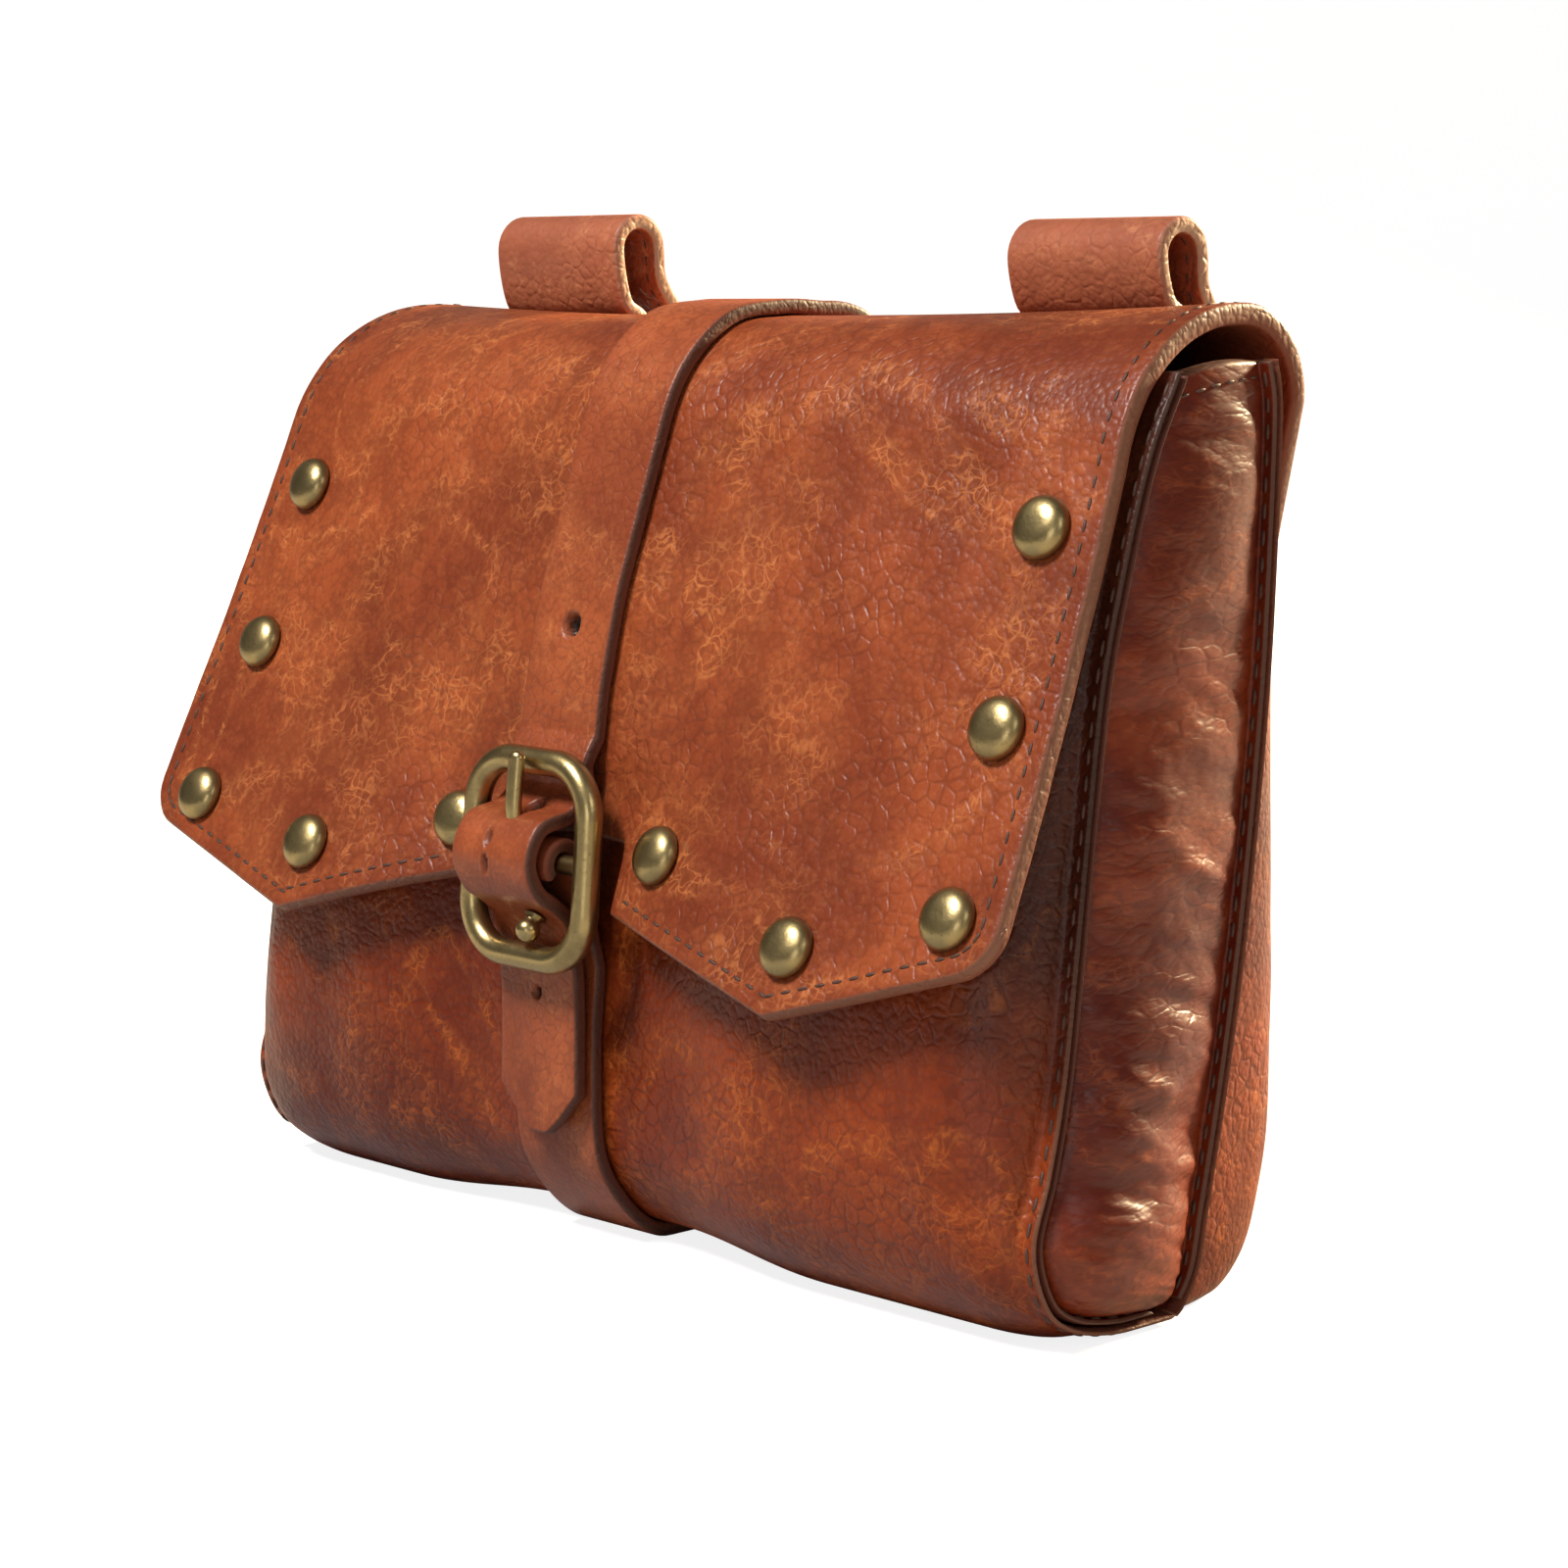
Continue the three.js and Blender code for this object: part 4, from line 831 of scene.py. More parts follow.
class Palette:
    """Every finish of the pouch."""

    def __init__(self) -> None:
        """Builds the finishes."""
        groups = Groups()
        self.body = HideFinish(
            "hide_body", dark=(0.125, 0.0135, 0.002), base=(0.24, 0.034, 0.004),
            pale=(0.52, 0.13, 0.02), cut=(0.16, 0.06, 0.032), roughness=0.38, coat=0.0,
        ).build(groups)
        self.flap = HideFinish(
            "hide_flap", dark=(0.17, 0.028, 0.008), base=(0.29, 0.056, 0.014),
            pale=(0.62, 0.2, 0.055), cut=(0.2, 0.078, 0.042), coat=0.1,
        ).build(groups)
        self.gusset = HideFinish(
            "hide_gusset", dark=(0.10, 0.009, 0.002), base=(0.19, 0.024, 0.004),
            pale=(0.34, 0.07, 0.014), cut=(0.10, 0.04, 0.024), roughness=0.39,
            crack_amount=0.45, relief=0.00014, stretch=(1.0, 0.5, 1.3), coat=0.03,
        ).build(groups)
        self.strap = HideFinish(
            "hide_strap", dark=(0.21, 0.04, 0.013), base=(0.35, 0.075, 0.022),
            pale=(0.6, 0.2, 0.06), cut=(0.085, 0.034, 0.022), crack_amount=0.4,
            relief=0.00016, grain_scale=1200.0, rubbed=0.35,
        ).build(groups)
        # Painted light: the loops' colours are set much paler than the flap's, for the light and
        # sheen their faces catch from above.
        self.loop = HideFinish(
            "hide_loop", dark=(0.31, 0.08, 0.035), base=(0.52, 0.15, 0.06),
            pale=(0.85, 0.38, 0.16), cut=(0.4, 0.24, 0.15), roughness=0.34, coat=0.15,
        ).build(groups)
        self.brass = BrassFinish("old_brass").build()
        self.thread = ThreadFinish("dark_thread", (0.085, 0.03, 0.015)).build()


# Body

FRONT_ROWS = [
    {"out": 0.476, "up": 0.972, "seam_out": 0.43, "seam_up": 0.985, "in": 0, "lift": 0},
    {"out": 0.56, "up": 0.905, "seam_out": 0.525, "seam_up": 0.905, "in": 0, "lift": 0},
    {"out": 0.662, "up": 0.795, "seam_out": 0.61, "seam_up": 0.79, "in": 0, "lift": 0},
    {"out": 0.759, "up": 0.676, "seam_out": 0.675, "seam_up": 0.676, "in": 0.1, "lift": 0},
    {"out": 0.854, "up": 0.559, "seam_out": 0.715, "seam_up": 0.544, "in": 0.45, "lift": 0},
    {"out": 0.933, "up": 0.441, "seam_out": 0.75, "seam_up": 0.412, "in": 0.8, "lift": 0},
    {"out": 0.984, "up": 0.324, "seam_out": 0.786, "seam_up": 0.287, "in": 1, "lift": 0},
    {"out": 1.0, "up": 0.213, "seam_out": 0.833, "seam_up": 0.191, "in": 1, "lift": 0},
    {"out": 0.968, "up": 0.118, "seam_out": 0.881, "seam_up": 0.118, "in": 0.7, "lift": 0.3},
    {"out": 0.873, "up": 0.038, "seam_out": 0.825, "seam_up": 0.05, "in": 0.5, "lift": 1},
    {"out": 0.722, "up": 0, "seam_out": 0.706, "seam_up": 0.022, "in": 0.2, "lift": 1},
    {"out": 0.563, "up": 0, "seam_out": 0.571, "seam_up": 0.014, "in": 0, "lift": 1},
    {"out": 0.421, "up": 0, "seam_out": 0.421, "seam_up": 0.014, "in": 0, "lift": 1},
]
BACK_ROWS = [
    {"out": 0.05, "up": 0.975, "seam_out": 0.12, "seam_up": 0.995, "in": 0, "lift": 0},
    {"out": 0, "up": 0.93, "seam_out": 0.1, "seam_up": 0.938, "in": 0, "lift": 0},
    {"out": 0, "up": 0.721, "seam_out": 0.12, "seam_up": 0.721, "in": 0, "lift": 0},
    {"out": -0.03, "up": 0.441, "seam_out": 0.185, "seam_up": 0.441, "in": 0, "lift": 0},
    {"out": -0.045, "up": 0.235, "seam_out": 0.262, "seam_up": 0.235, "in": 0, "lift": 0},
    {"out": -0.015, "up": 0.118, "seam_out": 0.318, "seam_up": 0.118, "in": 0, "lift": 0.1},
    {"out": 0.045, "up": 0.045, "seam_out": 0.349, "seam_up": 0.055, "in": 0, "lift": 0.5},
    {"out": 0.16, "up": 0.006, "seam_out": 0.389, "seam_up": 0.025, "in": 0, "lift": 0.9},
    {"out": 0.294, "up": 0, "seam_out": 0.405, "seam_up": 0.017, "in": 0, "lift": 1},
    {"out": 0.416, "up": 0, "seam_out": 0.416, "seam_up": 0.014, "in": 0, "lift": 1},
]
GUSSET_ROWS = [
    {"front": 0, "back": 0, "bulge": 0.2, "lean": 0},
    {"front": 1, "back": 0.95, "bulge": 0.35, "lean": 0},
    {"front": 2, "back": 1.58, "bulge": 0.55, "lean": 0},
    {"front": 3, "back": 2.1, "bulge": 0.4, "lean": 0.02},
    {"front": 4, "back": 2.65, "bulge": 0.62, "lean": 0.04},
    {"front": 5, "back": 3.15, "bulge": 0.5, "lean": 0.08},
    {"front": 6, "back": 3.78, "bulge": 0.8, "lean": 0.12},
    {"front": 7, "back": 4.35, "bulge": 0.72, "lean": 0.16},
    {"front": 8, "back": 4.85, "bulge": 1, "lean": 0.18},
    {"front": 9, "back": 5.5, "bulge": 0.9, "lean": 0.12},
    {"front": 10, "back": 6.3, "bulge": 0.6, "lean": 0.06},
    {"front": 11, "back": 6.8, "bulge": 0.35, "lean": 0},
    {"front": 11.5, "back": 7.2, "bulge": 0.2, "lean": 0},
]


@dataclass
class Body:
    """Front and back panels that share the base, and the gussets sewn between them."""

    palette: Palette
    left: float = 81.0
    right: float = 90.0
    height: float = 136.0
    depth: float = 63.0
    back: float = -2.5
    wall: float = 2.4
    gusset_wall: float = 2.0
    lip: float = 1.0
    lip_height: float = 3.0
    front_radius: float = 13.0
    back_radius: float = 5.0
    gusset_bulge: float = 7.0
    hem_rise: float = 1.0
    pinch_depth: float = 5.0
    pinch_reach: float = 48.0
    pinch_flat: float = 13.0
    strap_x: float = -3.6
    base_lift: float = 2.5
    front: dict[str, Curve] = field(default_factory=lambda: columns_of(FRONT_ROWS))
    rear: dict[str, Curve] = field(default_factory=lambda: columns_of(BACK_ROWS))

    def pinch(self, x: Array) -> Array:
        """The share of the strap's pull at places across: a cosine beside a flat band."""
        away = (np.abs(x - self.strap_x) - self.pinch_flat) / (self.pinch_reach - self.pinch_flat)
        return 0.5 + 0.5 * np.cos(np.pi * np.clip(away, 0, 1))

    def face(self, curves: dict[str, Curve], at: Array, pinch: Array | float) -> Array:
        """The outer face's place at a station, drawn in and lifted by the strap."""
        out = curves["out"](at) * self.depth - curves["in"](at) * self.pinch_depth * pinch
        up = curves["up"](at) * self.height + curves["lift"](at) * self.base_lift * pinch
        return in_plane(self.back - out, up)

    def seam(self, curves: dict[str, Curve], at: Array) -> Array:
        """The seam's place at a station."""
        out = self.back - curves["seam_out"](at) * self.depth
        return in_plane(out, curves["seam_up"](at) * self.height)

    def normal(self, curves: dict[str, Curve], at: Array, line: Curve) -> Array:
        """The in-plane normal of a line of the panel, on the outer side of its seam."""
        way = line(at + 0.02) - line(at - 0.02)
        across = unit(in_plane(way[..., 2], -way[..., 1]))
        toward = self.face(curves, at, 0.0) - self.seam(curves, at)
        return np.where((across * toward).sum(-1, keepdims=True) < 0, -across, across)

    def seam_normal(self, curves: dict[str, Curve], at: Array) -> Array:
        """The in-plane normal of the seam."""
        return self.normal(curves, at, lambda t: self.seam(curves, t))

    def side_profile(self, radius: float) -> tuple[Array, Array, Array]:
        """The section of a panel's side, from its lip's tip over its edge to its face.

        The lip runs straight out from the side. The edge is a quarter circle of the given
        radius. Both are smoothed together where they meet.

        Args:
            radius: The radius of the rounded edge.

        Returns:
            The outer and the inner distance from the side, and the share of the way from
            the seam to the face.
        """
        tip = self.lip_height - np.append(CUT_STEPS[:-1], [1.4, 1.8, 2.2])
        turn = np.radians(np.linspace(0, 90, 26))[:-1]
        outer = np.concatenate([tip, radius * (np.cos(turn) - 1)])
        narrow = np.linspace(self.lip_height, -self.wall, len(tip))
        inner = np.concatenate([narrow, (radius - self.wall) * np.cos(turn) - radius])
        share = np.concatenate([np.zeros(len(tip)), np.sin(turn)])
        for _ in range(2):
            for line in (outer, share):
                line[5:-5] = np.convolve(line, SOFT, mode="same")[5:-5]
        return outer, inner, share

    def panel(self, curves: dict[str, Curve], radius: float, rows: int, columns: int) -> Sheet:
        """A panel from its top edge down and round to the base seam.

        Args:
            curves: The panel's curves.
            radius: The radius of its side edges.
            rows: How many stations it is given.
            columns: How many columns its flat has.

        Returns:
            The panel as a sheet.
        """
        last = (len(FRONT_ROWS) if curves is self.front else len(BACK_ROWS)) - 1
        at = np.linspace(0.0, last, rows)
        at = np.unique(np.concatenate([at, CUT_STATIONS, last - CUT_STATIONS]))
        seam, aside = self.seam(curves, at), self.seam_normal(curves, at)
        lip_out = (seam + aside * (GAP / 2 + self.lip))[:, None]
        lip_in = (seam + aside * GAP / 2)[:, None]
        plain = self.face(curves, at, 0.0)
        away = self.normal(curves, at, lambda t: self.face(curves, t, 0.0))
        xo, xi, share = self.side_profile(radius)
        blend = share[None, :, None]
        out_side = lip_out + (plain[:, None] - lip_out) * blend
        in_side = lip_in + ((plain - away * self.wall)[:, None] - lip_in) * blend
        x = np.linspace(radius - self.left, self.right - radius, columns)
        pull = self.pinch(x)[None]
        tall = at[:, None] + 0 * x[None]
        face = self.face(curves, tall, pull)
        face_way = self.normal(curves, tall, lambda t: self.face(curves, t, pull))
        parts_out, parts_in = [], []
        for side, offset in ((-1, self.left), (1, self.right)):
            near_out, near_in = out_side.copy(), in_side.copy()
            near_out[..., 0] = side * (offset + xo)
            near_in[..., 0] = side * (offset + xi)
            parts_out.append(near_out)
            parts_in.append(near_in)
        face_in = face - face_way * self.wall
        face[..., 0] = x
        face_in[..., 0] = x
        outer = np.concatenate([parts_out[0], face, parts_out[1][:, ::-1]], axis=1)
        inner = np.concatenate([parts_in[0], face_in, parts_in[1][:, ::-1]], axis=1)
        normals = unit(outer - inner)
        crumple = self.crumple(outer)
        outer = outer + normals * crumple[..., None]
        inner = inner + normals * crumple[..., None]
        down = from_ends(outer[:, outer.shape[1] // 2])
        inward = self.lip_height - xo
        across = np.concatenate([inward, np.full(columns, 9.0), inward[::-1]])
        edge = np.minimum(down, across[None])
        # Painted shade: the front panel's sides darken under the flap's edges, where the flap
        # shades them.
        flap_shade = self.darker(outer) if curves is self.front else None
        return Sheet(outer, inner, np.maximum(edge, 0), rounding=0.7, shade=flap_shade)

    def darker(self, points: Array) -> Array:
        """Painted shade on the front panel: beside its seams, under the flap's edges."""
        aside = smoothstep(np.abs(points[..., 0]), 0.9 * self.left, self.left + 4.0)
        return 0.75 * aside * smoothstep(points[..., 2], 24.0, 70.0)

    def crumple(self, points: Array) -> Array:
        """Shallow creases of a panel, deeper near its side seams and low down."""
        near = np.minimum(points[..., 0] + self.left, self.right - points[..., 0])
        side = np.clip(1 - near / 34, 0, 1) ** 1.5 * smoothstep(near, -1.0, 7.0)
        low = 0.35 + 0.65 * np.clip(1 - points[..., 2] / 90, 0, 1)
        creases = ripples(points, (7, 9, 26), 11) * side * low * 0.75
        broad = ripples(points, (46, 46, 46), 5, 2) * 0.45 * smoothstep(near, 0.0, 20.0)
        free = smoothstep(np.abs(points[..., 0] - self.strap_x), 11.0, 24.0)
        flat = smoothstep(points[..., 2], 3.0, 16.0)
        return np.clip(creases + broad, -0.7, 0.5) * free * flat

    def gusset(self, side: Side) -> Sheet:
        """A gusset: lips along both seams and a bulging, crumpled wall between them."""
        curves = columns_of(GUSSET_ROWS, "front")
        last = GUSSET_ROWS[-1]["front"]
        at = np.linspace(0, last, 230)
        at = np.unique(np.concatenate([at, CUT_STATIONS, last - CUT_STATIONS]))
        back_at = curves["back"](at)
        front_aside = self.seam_normal(self.front, at)
        back_aside = self.seam_normal(self.rear, back_at)
        far, close_by = GAP / 2 + self.lip, GAP / 2
        front_line, back_line = self.seam(self.front, at), self.seam(self.rear, back_at)
        front, back = front_line - front_aside * far, back_line - back_aside * far
        front_in = front_line - front_aside * close_by
        back_in = back_line - back_aside * close_by
        tip = self.lip_height - np.append(CUT_STEPS, [2.0, 2.4])
        share = np.linspace(0, 1, 66)[None]
        leaned_share = share ** (1 - 2 * curves["lean"](at)[:, None])
        bulge = self.gusset_bulge * curves["bulge"](at)[:, None]
        bulge = bulge * np.maximum(np.sin(np.pi * leaned_share), 0) ** 0.7
        hem = np.maximum(0, 1 - at)[:, None] * self.hem_rise * np.sin(np.pi * share)
        wall = front[:, None] + (back - front)[:, None] * share[..., None]
        wall[..., 2] += hem
        wall_in = front_in[:, None] + (back_in - front_in)[:, None] * share[..., None]
        wall_in[..., 2] += hem
        x_out = self.lip / 2 + bulge
        x_in = -self.gusset_wall + bulge
        lips = len(tip)
        narrow = np.linspace(self.lip_height, -self.gusset_wall, lips)

        def row(line: Array, inner: bool, back_side: bool) -> Array:
            """One lip's points, from its tip inward."""
            made = np.repeat(line[:, None], lips, axis=1)
            made[..., 0] = narrow if inner else tip
            return made[:, ::-1] if back_side else made

        wall[..., 0], wall_in[..., 0] = x_out, x_in
        outer = np.concatenate([row(front, False, False), wall[:, 1:-1],
                                row(back, False, True)], 1)
        inner = np.concatenate([row(front_in, True, False), wall_in[:, 1:-1],
                                row(back_in, True, True)], 1)
        for _ in range(3):
            before, own, after = outer[:, :-2], outer[:, 1:-1], outer[:, 2:]
            softened = SOFT[0] * before + SOFT[1] * own + SOFT[2] * after
            outer[:, 6:-6] = softened[:, 5:-5]
        offset = self.right if side is Side.RIGHT else self.left
        creases = self.gusset_creases(outer, at, side)
        outer[..., 0] += creases
        inner[..., 0] += creases
        for face in (outer, inner):
            face[..., 0] = side.value * (offset + face[..., 0])
        down = from_ends(outer[:, outer.shape[1] // 2])
        inward = self.lip_height - tip
        across = np.concatenate([inward, np.full(outer.shape[1] - 2 * lips, 9.0), inward[::-1]])
        return Sheet(outer, inner, np.minimum(down, across[None]), rounding=0.7)

    def gusset_creases(self, points: Array, at: Array, side: Side) -> Array:
        """Level creases of a soft wall: ripples that are wide across and short upward."""
        columns = points.shape[1]
        middle = np.sin(np.pi * np.clip((np.arange(columns) - 9) / (columns - 19), 0, 1)) ** 0.6
        slanted = points.copy()
        slanted[..., 2] += 0.25 * slanted[..., 1]
        seed = 21 if side is Side.RIGHT else 22
        fine = ripples(slanted, (30, 13, 3.3), seed)
        coarse = ripples(slanted, (60, 40, 15), seed + 7, 2)
        away = np.abs(np.linspace(-1, 1, columns))[None]
        fine = fine * (0.55 + 0.75 * away**2)
        deep = 0.45 + 0.55 * smoothstep(at, 1.0, 6.0)[:, None]
        low = smoothstep(at, 0.0, 0.6)[:, None]
        return (fine * 1.25 + coarse * 0.7) * middle[None] * deep * low

    def seam_stitches(self, side: Side) -> None:
        """Stitches through the lips of both seams and along the gusset's upper hem."""
        offset = self.right if side is Side.RIGHT else self.left
        stations = columns_of(GUSSET_ROWS, "front")["back"]
        at = np.linspace(0.1, GUSSET_ROWS[-1]["front"] - 0.2, 400)
        made = []
        for curves, places in ((self.front, at), (self.rear, stations(at))):
            aside = self.seam_normal(curves, places)
            for way_sign in (-1, 1):
                line = self.seam(curves, places) + way_sign * aside * (GAP / 2 + self.lip)
                line[:, 0] = side.value * (offset + 1.7)
                spots, way = even_walk(line, SEAM_PITCH)
                near = np.abs(spots[:, None] - line[None]).sum(-1).argmin(1)
                made.append(stitch_row(spots, way, way_sign * aside[near], SEAM_STITCH))
        share = np.linspace(0.05, 0.95, 60)
        row = np.full(60, 0.3)
        front = self.seam(self.front, row) - self.seam_normal(self.front, row)
        rear_row = stations(row)
        back = self.seam(self.rear, rear_row) - self.seam_normal(self.rear, rear_row)
        line = front + (back - front) * share[:, None]
        line[:, 2] += 0.7 * self.hem_rise * np.sin(np.pi * share)
        bulge = self.gusset_bulge * columns_of(GUSSET_ROWS, "front")["bulge"](row)
        reach = self.lip / 2 + bulge * np.maximum(np.sin(np.pi * share), 0) ** 0.7
        line[:, 0] = side.value * (offset + reach + 0.1)
        spots, way = even_walk(line, HEM_PITCH)
        outward = np.broadcast_to(np.array([side.value * 1.0, 0.0, 0.0]), spots.shape)
        made.append(stitch_row(spots, way, outward, HEM_STITCH))
        make_piece(f"stitches_seam_{side.label}", *joined(made), self.palette.thread, Slot.GUSSET)

    def build(self) -> None:
        """Makes the panels, the gussets and their stitches."""
        front = self.panel(self.front, self.front_radius, rows=190, columns=104)
        make_sheet("front_leather", front, self.palette.body, Slot.BODY, "front_panel")
        rear = self.panel(self.rear, self.back_radius, rows=150, columns=84)
        make_sheet("back_leather", rear, self.palette.body, Slot.BODY, "back_panel")
        for side in Side:
            make_sheet(f"gusset_leather_{side.label}", self.gusset(side), self.palette.gusset,
                       Slot.GUSSET, f"gusset_{side.label}")
            self.seam_stitches(side)


# Flap

FULLNESS_ROWS = [
    {"along": -0.18, "crown": 0, "dent": 0},
    {"along": -0.08, "crown": -0.32, "dent": 0},
    {"along": 0, "crown": -0.58, "dent": 0},
    {"along": 0.08, "crown": -0.2, "dent": 0},
    {"along": 0.17, "crown": 0.7, "dent": 0},
    {"along": 0.27, "crown": 1, "dent": 0},
    {"along": 0.5, "crown": 0.9, "dent": 0},
    {"along": 0.63, "crown": 0.45, "dent": 0.05},
    {"along": 0.71, "crown": 0.1, "dent": 0.25},
    {"along": 0.78, "crown": 0, "dent": 0.75},
    {"along": 0.87, "crown": 0, "dent": 0.95},
    {"along": 1.1, "crown": 0, "dent": 1},
]
OUTLINE_ROWS = [
    {"side": 1, "left": 0.888, "right": 0.897},
    {"side": 0.58, "left": 0.988, "right": 1},
    {"side": 0.15, "left": 0.872, "right": 0.91},
    {"side": 0.135, "left": 0.82, "right": 0.82},
    {"side": 0, "left": 0.81, "right": 0.81},
]
RIVET_ROWS = [
    {"left": 0.92, "left_drop": 0.4, "right": 0.913, "right_drop": 0.401},
    {"left": 0.933, "left_drop": 0.632, "right": 0.925, "right_drop": 0.63},
    {"left": 0.968, "left_drop": 0.856, "right": 0.935, "right_drop": 0.85},
    {"left": 0.623, "left_drop": 0.895, "right": 0.622, "right_drop": 0.915},
    {"left": 0.272, "left_drop": 0.826, "right": 0.25, "right_drop": 0.832},
]


@dataclass
class Flap:
    """The flap from the pouch's back over its crest to the lobed lower edge, with rivets."""

    palette: Palette
    wall: float = 3.2
    back: float = 1.0
    back_drop: float = 36.0
    back_taper: float = 8.0
    rear_radius: float = 14.0
    crest_flat: float = 2.0
    front_radius: float = 28.5
    front_turn: float = 70.4
    front_curl: float = -6.0
    drop: float = 122.4
    flare_left: float = 11.5
    flare_right: float = 3.5
    flare_curve: float = 0.75
    corner: float = 6.0
    crown: float = 4.0
    dent: float = 4.8
    dent_reach: float = 46.0
    strap_x: float = -3.6
    strap_end: float = 85.8
    rivet_radius: float = 4.6
    rivet_height: float = 2.8
    fullness: dict[str, Curve] = field(default_factory=lambda: columns_of(FULLNESS_ROWS, "along"))

    @property
    def rear_bend(self) -> float:
        """The length of the bend at the back of the crest."""
        return self.rear_radius * math.pi / 2

    @property
    def front_bend(self) -> float:
        """The length of the bend at the front of the crest."""
        return self.front_radius * math.radians(self.front_turn)

    def path(self, along: Array) -> tuple[Array, Array]:
        """The flap's run in the y-z plane: stretches of even bend, one after the other.

        Args:
            along: The distance from the crest's back in millimetres.

        Returns:
            The outer face's places and its in-plane normals.
        """
        last = self.drop - self.crest_flat - self.front_bend
        lengths = [self.back_drop, self.rear_bend, self.crest_flat, self.front_bend, last]
        turns = np.radians([0, 90, 0, self.front_turn, self.front_curl])
        at = np.asarray(along, float) + self.back_drop + self.rear_bend
        y = np.zeros_like(at)
        z = np.zeros_like(at)
        turned = np.zeros_like(at)
        start = np.array([self.back, CREST_HEIGHT - self.rear_radius - self.back_drop])
        heading, begin = 0.0, 0.0
        for number, (length, turn) in enumerate(zip(lengths, turns)):
            bend = turn / length
            chosen = at >= begin if number else np.ones_like(at, bool)
            far = np.where(chosen, at - begin, 0.0)
            way = heading + bend * far
            if abs(bend) < 1e-9:
                step_y, step_z = -far * math.sin(heading), far * math.cos(heading)
                end = [-length * math.sin(heading), length * math.cos(heading)]
            else:
                step_y = (np.cos(way) - math.cos(heading)) / bend
                step_z = (np.sin(way) - math.sin(heading)) / bend
                after = heading + turn
                end = [(math.cos(after) - math.cos(heading)) / bend,
                       (math.sin(after) - math.sin(heading)) / bend]
            y = np.where(chosen, start[0] + step_y, y)
            z = np.where(chosen, start[1] + step_z, z)
            turned = np.where(chosen, way, turned)
            start = start + end
            heading += turn
            begin += length
        return in_plane(y, z), in_plane(np.cos(turned), np.sin(turned))

    def place(self, x: Array, along: Array, lift: Array | float = 0.0) -> tuple[Array, Array]:
        """Points of the outer face raised by lift, with the crown, the dent and the sag."""
        x, along = np.broadcast_arrays(np.asarray(x, float), np.asarray(along, float))
        points, normal = self.path(along)
        share = along / self.drop
        side = np.clip(x / FLAP_HALF, -1, 1)
        near = np.clip((x - self.strap_x) / self.dent_reach, -1, 1)
        crown = self.crown * self.fullness["crown"](share) * (1 - side**2)
        dent = self.dent * self.fullness["dent"](share) * (0.5 + 0.5 * np.cos(np.pi * near))
        points = points + normal * (crown - dent + lift)[..., None]
        points[..., 0] = x
        return points, normal

    def half(self, sign: Array, along: Array) -> Array:
        """The flap's half width, wider low down and narrower down the back."""
        flare = np.where(sign < 0, self.flare_left, self.flare_right)
        behind = np.maximum(0, -along - self.rear_bend) / self.back_drop
        ahead = (np.maximum(0, along) / self.drop) ** self.flare_curve
        return FLAP_HALF + flare * ahead - self.back_taper * behind

    def end(self, x: Array) -> Array:
        """How far down the flap reaches at places across, with its corners rounded."""
        x = np.asarray(x, float)
        half = self.half(np.sign(x), np.full_like(x, self.drop))
        at = np.abs(x) / half
        sides = [row["side"] for row in OUTLINE_ROWS][::-1]
        left = np.interp(at, sides, [row["left"] for row in OUTLINE_ROWS][::-1])
        right = np.interp(at, sides, [row["right"] for row in OUTLINE_ROWS][::-1])
        reach = self.drop * np.where(x < 0, left, right)
        into = np.clip(np.abs(x) - half + self.corner, 0, self.corner)
        return reach - (self.corner - np.sqrt(self.corner**2 - into**2))

    def outline(self) -> Array:
        """The flap's cut edge as x and along, once round from the back's left end."""
        share = np.concatenate([np.linspace(-1, -0.93, 30), np.linspace(-0.92, 0.92, 240),
                                np.linspace(0.93, 1, 30)])
        low_half = self.half(np.sign(share), np.full_like(share, self.drop))
        low = np.abs(share) * low_half * np.sign(share)
        reach = self.end(low)
        x = share * self.half(np.sign(share), reach)
        top = -self.back_drop - self.rear_bend
        sides = []
        for sign, stop in ((-1, reach[0]), (1, reach[-1])):
            along = np.linspace(top, stop, 60)
            sides.append(np.stack([sign * self.half(np.full(60, sign), along), along], -1))
        lower = np.stack([x, reach], -1)
        ends = np.array([[sides[1][0, 0], top], [sides[0][0, 0], top]])
        return np.concatenate([sides[0], lower, sides[1][::-1], ends])

    def sheet(self) -> Sheet:
        """The flap as a sheet on a grid that follows its outline."""
        span = 96
        fine = CUT_STEPS / span
        notch = np.linspace(0.125, 0.16, 9)
        inner = np.concatenate([np.linspace(0, 0.118, 9), notch, np.linspace(0.17, 0.975, 62)])
        half_share = np.concatenate([inner, (1 - fine)[::-1]])
        share = np.concatenate([-half_share[::-1][:-1], half_share])
        top = -self.back_drop - self.rear_bend
        upper = np.concatenate([top + fine * span, np.arange(top + 2.2, self.strap_end, 1.15)])
        low = np.abs(share) * self.half(np.sign(share), np.full_like(share, self.drop))
        reach = self.end(low * np.sign(share))
        steps = np.linspace(0, 1, 28)[1:, None]
        lower = self.strap_end + (reach[None] - 1.6 - self.strap_end) * steps
        last = reach[None] - (fine * span)[::-1][:, None]
        along = np.concatenate([np.repeat(upper[:, None], len(share), 1), lower, last])
        x = share[None] * self.half(np.sign(share)[None], along)
        outer, normal = self.place(x, along)
        inner_face = self.place(x, along, -self.wall)[0]
        creases = self.creases(outer, x, along)
        outer = outer + normal * creases[..., None]
        inner_face = inner_face + normal * creases[..., None]
        edge = distance_to_line(np.stack([x, along], -1), self.outline())
        edge[[0, -1], :] = 0
        edge[:, [0, -1]] = 0
        return Sheet(outer, inner_face, edge, rounding=1.0, squareness=3.0)

